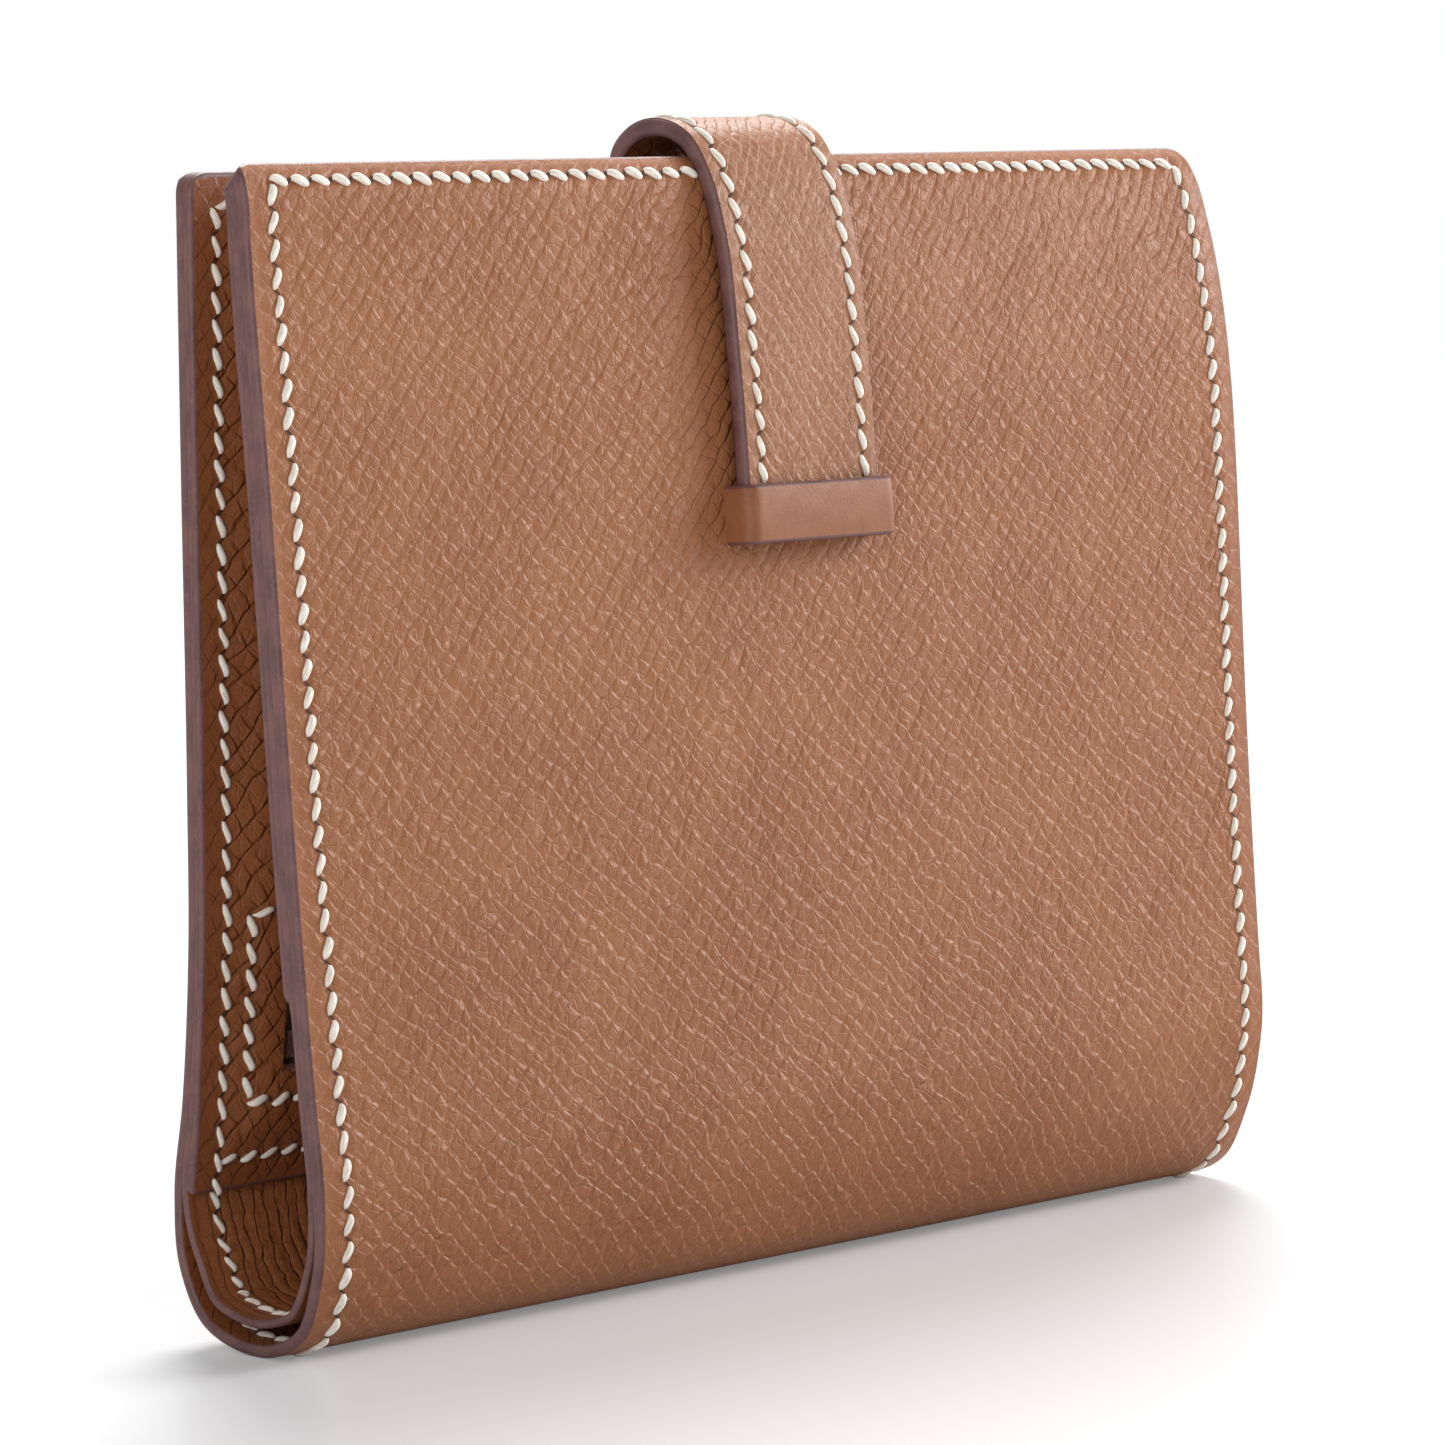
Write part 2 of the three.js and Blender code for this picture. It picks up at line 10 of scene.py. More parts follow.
import bpy
import numpy as np
from mathutils import Vector
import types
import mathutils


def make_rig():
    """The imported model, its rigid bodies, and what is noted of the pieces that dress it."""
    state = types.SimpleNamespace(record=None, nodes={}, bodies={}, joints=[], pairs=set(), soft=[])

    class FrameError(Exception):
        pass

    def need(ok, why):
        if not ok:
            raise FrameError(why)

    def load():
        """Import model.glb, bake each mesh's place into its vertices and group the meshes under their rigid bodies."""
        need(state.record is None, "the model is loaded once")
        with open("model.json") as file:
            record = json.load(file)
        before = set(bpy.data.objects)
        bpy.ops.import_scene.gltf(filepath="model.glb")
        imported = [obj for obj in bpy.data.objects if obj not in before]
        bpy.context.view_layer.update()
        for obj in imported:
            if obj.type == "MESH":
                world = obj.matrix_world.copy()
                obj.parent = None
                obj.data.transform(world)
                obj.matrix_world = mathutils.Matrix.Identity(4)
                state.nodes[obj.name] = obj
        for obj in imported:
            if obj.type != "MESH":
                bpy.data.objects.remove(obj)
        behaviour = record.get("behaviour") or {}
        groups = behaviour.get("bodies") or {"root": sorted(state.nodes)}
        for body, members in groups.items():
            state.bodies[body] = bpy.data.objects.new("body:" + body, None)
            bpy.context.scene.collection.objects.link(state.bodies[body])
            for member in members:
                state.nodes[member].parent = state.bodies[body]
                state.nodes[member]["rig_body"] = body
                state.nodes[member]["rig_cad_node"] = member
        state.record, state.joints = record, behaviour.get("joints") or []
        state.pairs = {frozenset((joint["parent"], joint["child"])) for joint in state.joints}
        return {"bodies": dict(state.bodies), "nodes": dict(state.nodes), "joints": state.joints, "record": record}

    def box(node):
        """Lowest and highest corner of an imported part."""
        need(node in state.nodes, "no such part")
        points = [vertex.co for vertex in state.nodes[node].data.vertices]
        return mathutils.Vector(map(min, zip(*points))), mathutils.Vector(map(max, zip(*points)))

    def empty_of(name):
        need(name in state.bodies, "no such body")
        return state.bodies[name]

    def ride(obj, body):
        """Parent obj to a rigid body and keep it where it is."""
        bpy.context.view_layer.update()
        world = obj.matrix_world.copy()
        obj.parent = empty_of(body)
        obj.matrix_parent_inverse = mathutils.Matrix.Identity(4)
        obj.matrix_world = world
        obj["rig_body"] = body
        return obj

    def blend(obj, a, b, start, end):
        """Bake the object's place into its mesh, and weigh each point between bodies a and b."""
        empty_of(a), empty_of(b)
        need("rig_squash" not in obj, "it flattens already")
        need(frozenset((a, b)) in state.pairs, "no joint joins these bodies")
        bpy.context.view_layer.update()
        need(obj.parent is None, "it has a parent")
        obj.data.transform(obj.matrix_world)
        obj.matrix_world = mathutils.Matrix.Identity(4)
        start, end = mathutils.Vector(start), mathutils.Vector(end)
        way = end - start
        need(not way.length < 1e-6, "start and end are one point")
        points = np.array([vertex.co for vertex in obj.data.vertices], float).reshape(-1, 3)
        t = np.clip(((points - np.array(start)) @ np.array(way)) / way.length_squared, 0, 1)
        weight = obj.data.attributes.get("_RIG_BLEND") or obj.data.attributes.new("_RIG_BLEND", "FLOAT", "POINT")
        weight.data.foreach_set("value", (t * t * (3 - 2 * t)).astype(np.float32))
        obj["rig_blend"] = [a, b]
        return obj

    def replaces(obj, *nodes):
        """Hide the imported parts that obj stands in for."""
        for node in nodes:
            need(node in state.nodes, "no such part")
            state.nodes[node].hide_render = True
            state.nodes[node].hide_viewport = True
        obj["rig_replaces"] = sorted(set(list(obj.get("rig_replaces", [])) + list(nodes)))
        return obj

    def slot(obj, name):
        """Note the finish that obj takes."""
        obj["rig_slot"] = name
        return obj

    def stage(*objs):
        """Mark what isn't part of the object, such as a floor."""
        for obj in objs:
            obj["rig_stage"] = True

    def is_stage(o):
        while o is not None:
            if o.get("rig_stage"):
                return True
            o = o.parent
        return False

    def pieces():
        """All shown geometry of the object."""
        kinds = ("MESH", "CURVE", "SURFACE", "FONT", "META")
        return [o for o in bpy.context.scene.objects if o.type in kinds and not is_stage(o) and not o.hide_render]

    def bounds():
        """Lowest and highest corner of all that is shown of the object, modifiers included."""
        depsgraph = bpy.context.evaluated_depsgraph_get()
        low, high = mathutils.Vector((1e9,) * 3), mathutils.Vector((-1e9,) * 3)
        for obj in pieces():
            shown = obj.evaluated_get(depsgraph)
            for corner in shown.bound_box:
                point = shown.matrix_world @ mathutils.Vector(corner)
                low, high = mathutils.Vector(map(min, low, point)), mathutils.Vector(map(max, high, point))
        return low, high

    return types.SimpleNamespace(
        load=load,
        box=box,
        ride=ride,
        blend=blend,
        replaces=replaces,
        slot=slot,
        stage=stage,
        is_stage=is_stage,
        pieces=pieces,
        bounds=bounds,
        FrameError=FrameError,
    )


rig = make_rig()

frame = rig.load()
cad_box = [list(corner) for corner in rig.bounds()]
random = np.random.default_rng(7)
MM = 0.001

# ---- sizes ----

back_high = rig.box("back_shell")[1]
HALF_WIDTH = back_high.x
TOP = back_high.z
BACK_FACE = back_high.y
FRONT_TOP_Y = 0.95 * MM

SHELL = 1.05 * MM
LINER_THICKNESS = 0.72 * MM
PANEL_THICKNESS = 0.72 * MM
GLUED_EDGE = 0.04 * MM
LEAF_CORNER = 1.8 * MM
FINE_STEP = 0.42 * MM
FOLD_STEP = 0.3 * MM
COARSE_STEP = 1.0 * MM

SEAM_INSET = 2.6 * MM
STITCH_PITCH = 2.25 * MM
STITCH_LENGTH = 2.08 * MM
STITCH_HALF_WIDTH = 0.42 * MM
STITCH_SLANT = 0.26 * MM
SLIT_HALF_WIDTH = 0.12 * MM
INNER_THREAD = 0.84
PUCKER_DEPTH = 0.16 * MM
PUCKER_REACH = 0.5 * MM

FRONT_BULGE = 1.9 * MM
FRONT_FLARE = 0.028
FOLD_GAP = 1.35 * MM
COIN_POUCH = 0.75 * MM


# ---- small helpers ----


def srgb(text):
    """A linear colour from a hex one."""
    parts = [int(text[i : i + 2], 16) / 255 for i in (0, 2, 4)]
    return [c / 12.92 if c <= 0.04045 else ((c + 0.055) / 1.055) ** 2.4 for c in parts] + [1.0]


def ease(start, end, value):
    """0 before start, 1 after end, smooth between them."""
    t = np.clip((value - start) / (end - start), 0, 1)
    return t * t * (3 - 2 * t)


def lines(start, end, step):
    """Evenly spaced values from start to end, at most a step apart."""
    return np.linspace(start, end, max(2, math.ceil(abs(end - start) / step) + 1))


class Path:
    """A line in a plane, measured by the way along it: smooth through its points or straight between them."""

    def __init__(self, points, smooth=True):
        self.line = self.through(np.array(points, float)) if smooth else np.array(points, float)
        steps = np.linalg.norm(np.diff(self.line, axis=0), axis=1)
        self.way = np.concatenate([[0], np.cumsum(steps)])
        self.length = self.way[-1]
        tangent = np.gradient(self.line, self.way, axis=0)
        tangent /= np.linalg.norm(tangent, axis=1)[:, None]
        self.normal = np.stack([tangent[:, 1], -tangent[:, 0]], axis=1)

    @staticmethod
    def through(knots):
        chord = np.concatenate([[0], np.cumsum(np.linalg.norm(np.diff(knots, axis=0), axis=1))])
        slope = np.gradient(knots, chord, axis=0)
        t = np.linspace(0, chord[-1], 2400)
        i = np.clip(np.searchsorted(chord, t, side="right") - 1, 0, len(chord) - 2)
        span = (chord[i + 1] - chord[i])[:, None]
        u = (t[:, None] - chord[i][:, None]) / span
        return (
            knots[i] * (1 + 2 * u) * (1 - u) ** 2
            + slope[i] * span * u * (1 - u) ** 2
            + knots[i + 1] * u**2 * (3 - 2 * u)
            + slope[i + 1] * span * u**2 * (u - 1)
        )

    def at(self, s):
        """The point and the normal at a way s, as four columns."""
        columns = [*self.line.T, *self.normal.T]
        return [np.interp(s, self.way, column) for column in columns]

    def nearest(self, y, z):
        """The way at which the line passes closest to a point."""
        return self.way[np.argmin(np.hypot(self.line[:, 0] - y, self.line[:, 1] - z))]


# ---- the wallet's leather as one surface ----

# Outer face at the left end, as [y, z]: down the back leaf, round the fold, up the front leaf.
OUTER_FACE = [
    (BACK_FACE + 0.1 * MM, TOP),
    (9.0 * MM, 72 * MM),
    (8.6 * MM, 45 * MM),
    (8.6 * MM, 33 * MM),
    (9.5 * MM, 20 * MM),
    (10.6 * MM, 12 * MM),
    (10.0 * MM, 6 * MM),
    (7.3 * MM, 1.7 * MM),
    (3.2 * MM, 0.1 * MM),
    (-1.2 * MM, 0.1 * MM),
    (-4.9 * MM, 2.0 * MM),
    (-7.0 * MM, 7.0 * MM),
    (-7.4 * MM, 14 * MM),
    (-6.5 * MM, 21 * MM),
    (-4.7 * MM, 37 * MM),
    (-1.6 * MM, 70 * MM),
    (FRONT_TOP_Y - 0.45 * MM, TOP - 5.5 * MM),
    (FRONT_TOP_Y - 0.15 * MM, TOP - 1.7 * MM),
    (FRONT_TOP_Y + 0.3 * MM, TOP - 0.2 * MM),
    (FRONT_TOP_Y + 1.3 * MM, TOP + 1.0 * MM),
]
wallet = Path(OUTER_FACE)
wallet.line[:, 1] -= wallet.line[:, 1].min()
LENGTH = wallet.length
FOLD_BOTTOM = wallet.way[np.argmin(wallet.line[:, 1])]


def back_way(z):
    """The way along the leather at a height on the back leaf."""
    half = wallet.way <= FOLD_BOTTOM
    return float(np.interp(-z, -wallet.line[half, 1], wallet.way[half]))


def front_way(z):
    """The way along the leather at a height on the front leaf."""
    half = wallet.way >= FOLD_BOTTOM
    return float(np.interp(z, wallet.line[half, 1], wallet.way[half]))


def leather(x, s, depth):
    """Points on the wallet's leather. The front leaf swells forwards towards its right end."""
    y, z, normal_y, normal_z = wallet.at(s)
    across = (x + HALF_WIDTH) / (2 * HALF_WIDTH)
    swell = across * (0.8 + 0.2 * across) * ease(0, 20 * MM, z) * (s > FOLD_BOTTOM)
    rolled_back = np.clip((z - 60 * MM) / (TOP - 59 * MM), 0, 1) ** 4
    swell = swell * (1 - rolled_back) * (FRONT_BULGE + FRONT_FLARE * z)
    return np.stack([x + 0 * y, y + depth * normal_y - swell, z + depth * normal_z], axis=-1)


def hinge_at(joint_name):
    """Where a hinge lies, as y and z."""
    joint = next(j for j in frame["joints"] if j["name"] == joint_name)
    return joint["pos_m"][1:]


# ---- meshes ----


def make_object(name, points, faces, materials, indices, attributes, sharp=40):
    """A mesh object with smooth faces, its material slots and its point attributes."""
    mesh = bpy.data.meshes.new(name)
    mesh.from_pydata(points, [], faces)
    for material in materials:
        mesh.materials.append(material)
    mesh.polygons.foreach_set("material_index", np.array(indices, np.int32))
    mesh.polygons.foreach_set("use_smooth", np.ones(len(faces), bool))
    for key, values in attributes.items():
        kind = "FLOAT_VECTOR" if np.ndim(values) == 2 else "FLOAT"
        attribute = mesh.attributes.new(key, kind, "POINT")
        field = "vector" if kind == "FLOAT_VECTOR" else "value"
        attribute.data.foreach_set(field, np.asarray(values, np.float32).ravel())
    mesh.update()
    mesh.set_sharp_from_angle(angle=math.radians(sharp))
    piece = bpy.data.objects.new(name, mesh)
    bpy.context.scene.collection.objects.link(piece)
    return piece


def round_corners(x, s, corners, half, start, end):
    """Moves points of a rectangle so that its corners are round: corners are the radii at start and end."""
    for radius, edge, way in ((corners[0], start, 1), (corners[1], end, -1)):
        if radius <= 0:
            continue
        a = np.clip((np.abs(x) - half + radius) / radius, 0, 1)
        b = np.clip((radius - (s - edge) * way) / radius, 0, 1)
        moved_x = np.sign(x) * (half - radius + radius * a * np.sqrt(1 - b**2 / 2))
        moved_s = edge + way * (radius - radius * b * np.sqrt(1 - a**2 / 2))
        inside = (a > 0) & (b > 0)
        x = np.where(inside, moved_x, x)
        s = np.where(inside, moved_s, s)
    return x, s


def rounding(outer, inner):
    """The same rounding of a rim all along s."""
    return lambda s: (outer + 0 * s, inner + 0 * s)


EDGE = rounding(0.32 * MM, 0.32 * MM)
RIM_LAYERS = 6

# The four sides of a grid cell: the step to the neighbour there, and the side's two corners.
CELL_SIDES = [
    (-1, 0, (0, 1), (0, 0)),
    (1, 0, (1, 0), (1, 1)),
    (0, -1, (0, 0), (1, 0)),
    (0, 1, (1, 1), (0, 1)),
]


def sheet(name, place, xs, ss, outer, inner, materials, cut=(), corners=(0, 0), hole=None, edge=EDGE, seed=0):
    """A sheet of leather or cloth with rounded edges, on a grid of x and s lines.

    outer and inner give the depths of its two faces. cut names the ends ("start", "end") where the sheet goes
    on in the next piece. hole is a window (x0, x1, s0, s1). materials are those of the outer face, the inner
    face and the edge. edge gives how far the rim is rounded off towards each face, at each s.
    """
    grid_x, grid_s = np.meshgrid(xs, ss, indexing="ij")
    cells = np.ones((len(xs) - 1, len(ss) - 1), int)
    if hole:
        middle_x = (grid_x[:-1, :-1] + grid_x[1:, 1:]) / 2
        middle_s = (grid_s[:-1, :-1] + grid_s[1:, 1:]) / 2
        x0, x1, s0, s1 = hole
        cells[(middle_x > x0) & (middle_x < x1) & (middle_s > s0) & (middle_s < s1)] = 0
    around = np.pad(cells, 1)
    a, b, c, d = around[:-1, :-1], around[1:, :-1], around[:-1, 1:], around[1:, 1:]
    count = a + b + c + d
    inward_x = np.sign(b + d - a - c)
    inward_s = np.sign(c + d - a - b)
    if "start" in cut:
        inward_s[:, 0] = 0
    if "end" in cut:
        inward_s[:, -1] = 0
    border = (count > 0) & (count < 4)

    points, grains, ids = [], [], []
    total = 0
    for layer in range(RIM_LAYERS + 1):
        turn = math.pi * layer / RIM_LAYERS
        wanted = (count > 0) if layer in (0, RIM_LAYERS) else border
        inset = edge(grid_s[wanted])[0 if 2 * layer < RIM_LAYERS else 1] * (1 - math.sin(turn))
        x = grid_x[wanted] + inward_x[wanted] * inset
        s = grid_s[wanted] + inward_s[wanted] * inset
        x, s = round_corners(x, s, corners, max(abs(xs[0]), abs(xs[-1])), ss[0], ss[-1])
        near, far = outer(x, s), inner(x, s)
        depth = (near + far) / 2 - math.cos(turn) * (far - near) / 2
        points.append(place(x, s, depth))
        grains.append(np.stack([x + seed * 0.31, s + seed * 0.17, depth + 0 * x], axis=-1))
        number = np.full(grid_x.shape, -1)
        number[wanted] = np.arange(total, total + len(x))
        total += len(x)
        ids.append(number)
    points, grains = np.concatenate(points), np.concatenate(grains)

    i, j = np.nonzero(cells)
    first, last = ids[0], ids[-1]
    quads = [
        np.stack([first[i, j], first[i + 1, j], first[i + 1, j + 1], first[i, j + 1]], axis=1),
        np.stack([last[i, j], last[i, j + 1], last[i + 1, j + 1], last[i + 1, j]], axis=1),
    ]
    indices = [np.zeros(len(i), int), np.ones(len(i), int)]
    for di, dj, start, end in CELL_SIDES:
        open_side = around[i + 1 + di, j + 1 + dj] == 0
        p = (i[open_side] + start[0], j[open_side] + start[1])
        q = (i[open_side] + end[0], j[open_side] + end[1])
        for upper, lower in zip(ids, ids[1:]):
            quads.append(np.stack([upper[q], upper[p], lower[p], lower[q]], axis=1))
            indices.append(np.full(len(p[0]), 2))
    quads, indices = np.concatenate(quads), np.concatenate(indices)
    if signed_volume(points, quads) < 0:
        quads = quads[:, ::-1]
    calm = rim_distance(grains[:, 0] - seed * 0.31, grains[:, 1] - seed * 0.17, xs, ss, cut)
    return make_object(name, points, quads.tolist(), materials, indices, {"grain": grains, "rim": calm / MM})


def rim_distance(x, s, xs, ss, cut):
    """How far points lie from the sheet's own edges."""
    distance = np.minimum(x - xs[0], xs[-1] - x)
    if "start" not in cut:
        distance = np.minimum(distance, s - ss[0])
    if "end" not in cut:
        distance = np.minimum(distance, ss[-1] - s)
    return distance


def signed_volume(points, quads):
    """Six times the volume inside a closed mesh of quads, above 0 when its faces point out."""
    p = [points[quads[:, k]] for k in range(4)]
    return float(np.sum(np.cross(p[0], p[1]) * p[2]) + np.sum(np.cross(p[0], p[2]) * p[3]))


# ---- stitching ----


class Seam:
    """A straight row of stitches in a sheet's flat coordinates, from one point to another."""

    def __init__(self, start, end, hand=1):
        self.start = np.array(start, float)
        self.along = np.array(end, float) - self.start
        self.length = np.linalg.norm(self.along)
        self.along /= self.length
        self.right = np.array([self.along[1], -self.along[0]])
        self.count = max(1, round(self.length / STITCH_PITCH))
        self.pitch = self.length / self.count
        self.hand = hand

    def pucker(self, x, s):
        """How deep the thread pulls the leather in: a shallow channel with a dip at each stitch hole."""
        way = (x - self.start[0]) * self.along[0] + (s - self.start[1]) * self.along[1]
        side = (x - self.start[0]) * self.right[0] + (s - self.start[1]) * self.right[1]
        phase = np.cos(2 * math.pi * way / self.pitch)
        inside = ease(-0.5 * self.pitch, 0.2 * self.pitch, way)
        inside = inside * ease(-0.5 * self.pitch, 0.2 * self.pitch, self.length - way)
        channel = np.exp(-((side / PUCKER_REACH) ** 2)) * (0.5 + 0.5 * phase)
        lip = np.exp(-(((np.abs(side) - 1.6 * PUCKER_REACH) / PUCKER_REACH) ** 2))
        return PUCKER_DEPTH * inside * (channel - 0.35 * lip * (0.6 - 0.4 * phase))


def pucker(seams, x, s):
    """The pull of all the seams on a face."""
    return sum(seam.pucker(x, s) for seam in seams)


SECTIONS = 11
RING = 8
ALONG = np.linspace(-0.5, 0.5, SECTIONS)
AROUND = np.arange(RING) * 2 * math.pi / RING


def tube(place, middle, right, width, height, rise, level, out):
    """The points of one small tube with tapered ends, laid along a line of a sheet's flat coordinates."""
    lateral = np.cos(AROUND)[None, :] * width[:, None]
    lift = rise[:, None] + np.sin(AROUND)[None, :] * height[:, None]
    x = (middle[:, 0:1] + right[0] * lateral).ravel()
    s = (middle[:, 1:2] + right[1] * lateral).ravel()
    depth = level(x, s) if callable(level) else level
    return place(x, s, depth + out * lift.ravel())


def tube_faces(first, sections=SECTIONS, ring=RING):
    """The faces of one closed tube, made of rings of points that start at first."""
    number_of = first + np.arange(sections * ring).reshape(sections, ring)
    after = np.roll(number_of, -1, axis=1)
    quads = np.stack([number_of[:-1], after[:-1], after[1:], number_of[1:]], axis=-1).reshape(-1, 4)
    return quads.tolist() + [number_of[0].tolist()[::-1], number_of[-1].tolist()]


def thread(name, place, seams, depth, out, material, keep=(-1e9, 1e9), size=1.0):
    """The stitches of some seams as one piece, with a flat dark mark of painted shade where the awl cut between each
    two.

    They lie on a face at a depth. out is -1 where the face looks outwards and 1 where it looks inwards. keep
    is the stretch of s whose stitches belong to this piece. size scales the thread.
    """
    body = np.clip(1 - np.abs(2 * ALONG) ** 1.9, 0.02, 1) ** 0.7
    points, grains, faces, indices = [], [], [], []

    def keep_tube(tube_points, width, length, index):
        grains.append(
            np.stack(
                [
                    np.repeat(ALONG * length, RING) + len(points) * 0.013,
                    np.tile(AROUND, SECTIONS) * width,
                    np.zeros(SECTIONS * RING),
                ],
                axis=1,
            )
        )
        made = tube_faces(len(points) * SECTIONS * RING)
        points.append(tube_points)
        faces.extend(made)
        indices.extend([index] * len(made))

    for seam in seams:
        for number in range(seam.count):
            centre = seam.start + seam.along * (number + 0.5) * seam.pitch
            length = STITCH_LENGTH * random.uniform(0.93, 1.05) * seam.pitch / STITCH_PITCH
            slant = seam.hand * STITCH_SLANT * random.uniform(0.8, 1.15)
            drift = random.normal(0, 0.035 * MM)
            plump = size * STITCH_HALF_WIDTH * random.uniform(0.88, 1.08)
            if not keep[0] <= centre[1] < keep[1]:
                continue
            sway = 2 * slant * ALONG + 0.3 * slant * np.sin(math.pi * 2 * ALONG) + drift
            middle = centre + seam.along * (length * ALONG)[:, None] + seam.right * sway[:, None]
            rise = plump * (0.95 * np.sqrt(np.clip(1 - (2 * ALONG) ** 4, 0, 1)) - 0.82)
            made = tube(place, middle, seam.right, plump * body, 0.82 * plump * body, rise, depth, out)
            keep_tube(made, plump, length, 0)
            if number + 1 == seam.count:
                continue
            # A flat dark mark of painted shade where the awl cut the leather, between this stitch and the next.
            hole = centre + seam.along * 0.5 * seam.pitch
            reach = seam.along * 0.22 * MM - seam.right * slant * 1.25
            across = np.array([reach[1], -reach[0]]) / np.hypot(*reach)
            middle = hole + reach * (2 * ALONG)[:, None]
            sunk = 0 * ALONG - 0.003 * MM
            made = tube(place, middle, across, SLIT_HALF_WIDTH * body, 0.03 * MM * body, sunk, depth, out)
            keep_tube(made, SLIT_HALF_WIDTH, 2 * np.hypot(*reach), 1)
    points = np.concatenate(points)
    if signed_volume(points, np.array([f for f in faces if len(f) == 4])) < 0:
        faces = [f[::-1] for f in faces]
    attributes = {"grain": np.concatenate(grains)}
    piece = make_object(name, points, faces, [material, awl_slit_shade], indices, attributes, 80)
    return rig.slot(piece, "thread")


# ---- materials ----


class Shader:
    """A material made of nodes, with short ways to add and link them."""

    def __init__(self, name, **values):
        self.material = bpy.data.materials.new(name)
        self.material.use_nodes = True
        self.tree = self.material.node_tree
        self.surface = self.tree.nodes["Principled BSDF"]
        for key, value in values.items():
            self.set(key.replace("_", " "), value)

    def set(self, key, value):
        """Gives an input of the surface a value or a link."""
        self.give(self.surface.inputs[key], value)

    def give(self, socket, value):
        if isinstance(value, bpy.types.NodeSocket):
            self.tree.links.new(value, socket)
        else:
            socket.default_value = value

    def add(self, kind, inputs=None, out=0, **settings):
        """Adds a node and returns one of its outputs."""
        node = self.tree.nodes.new("ShaderNode" + kind)
        for key, value in settings.items():
            setattr(node, key, value)
        for key, value in (inputs or {}).items():
            self.give(node.inputs[key], value)
        return node.outputs[out]

    def math(self, operation, a, b=0.0, clamp=False):
        return self.add("Math", {0: a, 1: b}, operation=operation, use_clamp=clamp)

    def spread(self, value, low, high, to_low=0.0, to_high=1.0):
        """Maps low..high to to_low..to_high, smoothly and clamped."""
        inputs = {"Value": value, "From Min": low, "From Max": high, "To Min": to_low, "To Max": to_high}
        return self.add("MapRange", inputs, interpolation_type="SMOOTHSTEP")

    def mix(self, share, a, b, blend="MIX"):
        """Mixes two colours."""
        inputs = {0: share, 6: a, 7: b}
        return self.add("Mix", inputs, out=2, data_type="RGBA", blend_type=blend)

    def noise(self, vector, scale, detail=2.0, rough=0.5, out=0):
        inputs = {"Vector": vector, "Scale": scale, "Detail": detail, "Roughness": rough}
        return self.add("TexNoise", inputs, out=out)

    def grain(self):
        return self.add("Attribute", out=1, attribute_name="grain")

    def bump(self, height, strength, distance):
        inputs = {"Height": height, "Strength": strength, "Distance": distance}
        self.set("Normal", self.add("Bump", inputs))


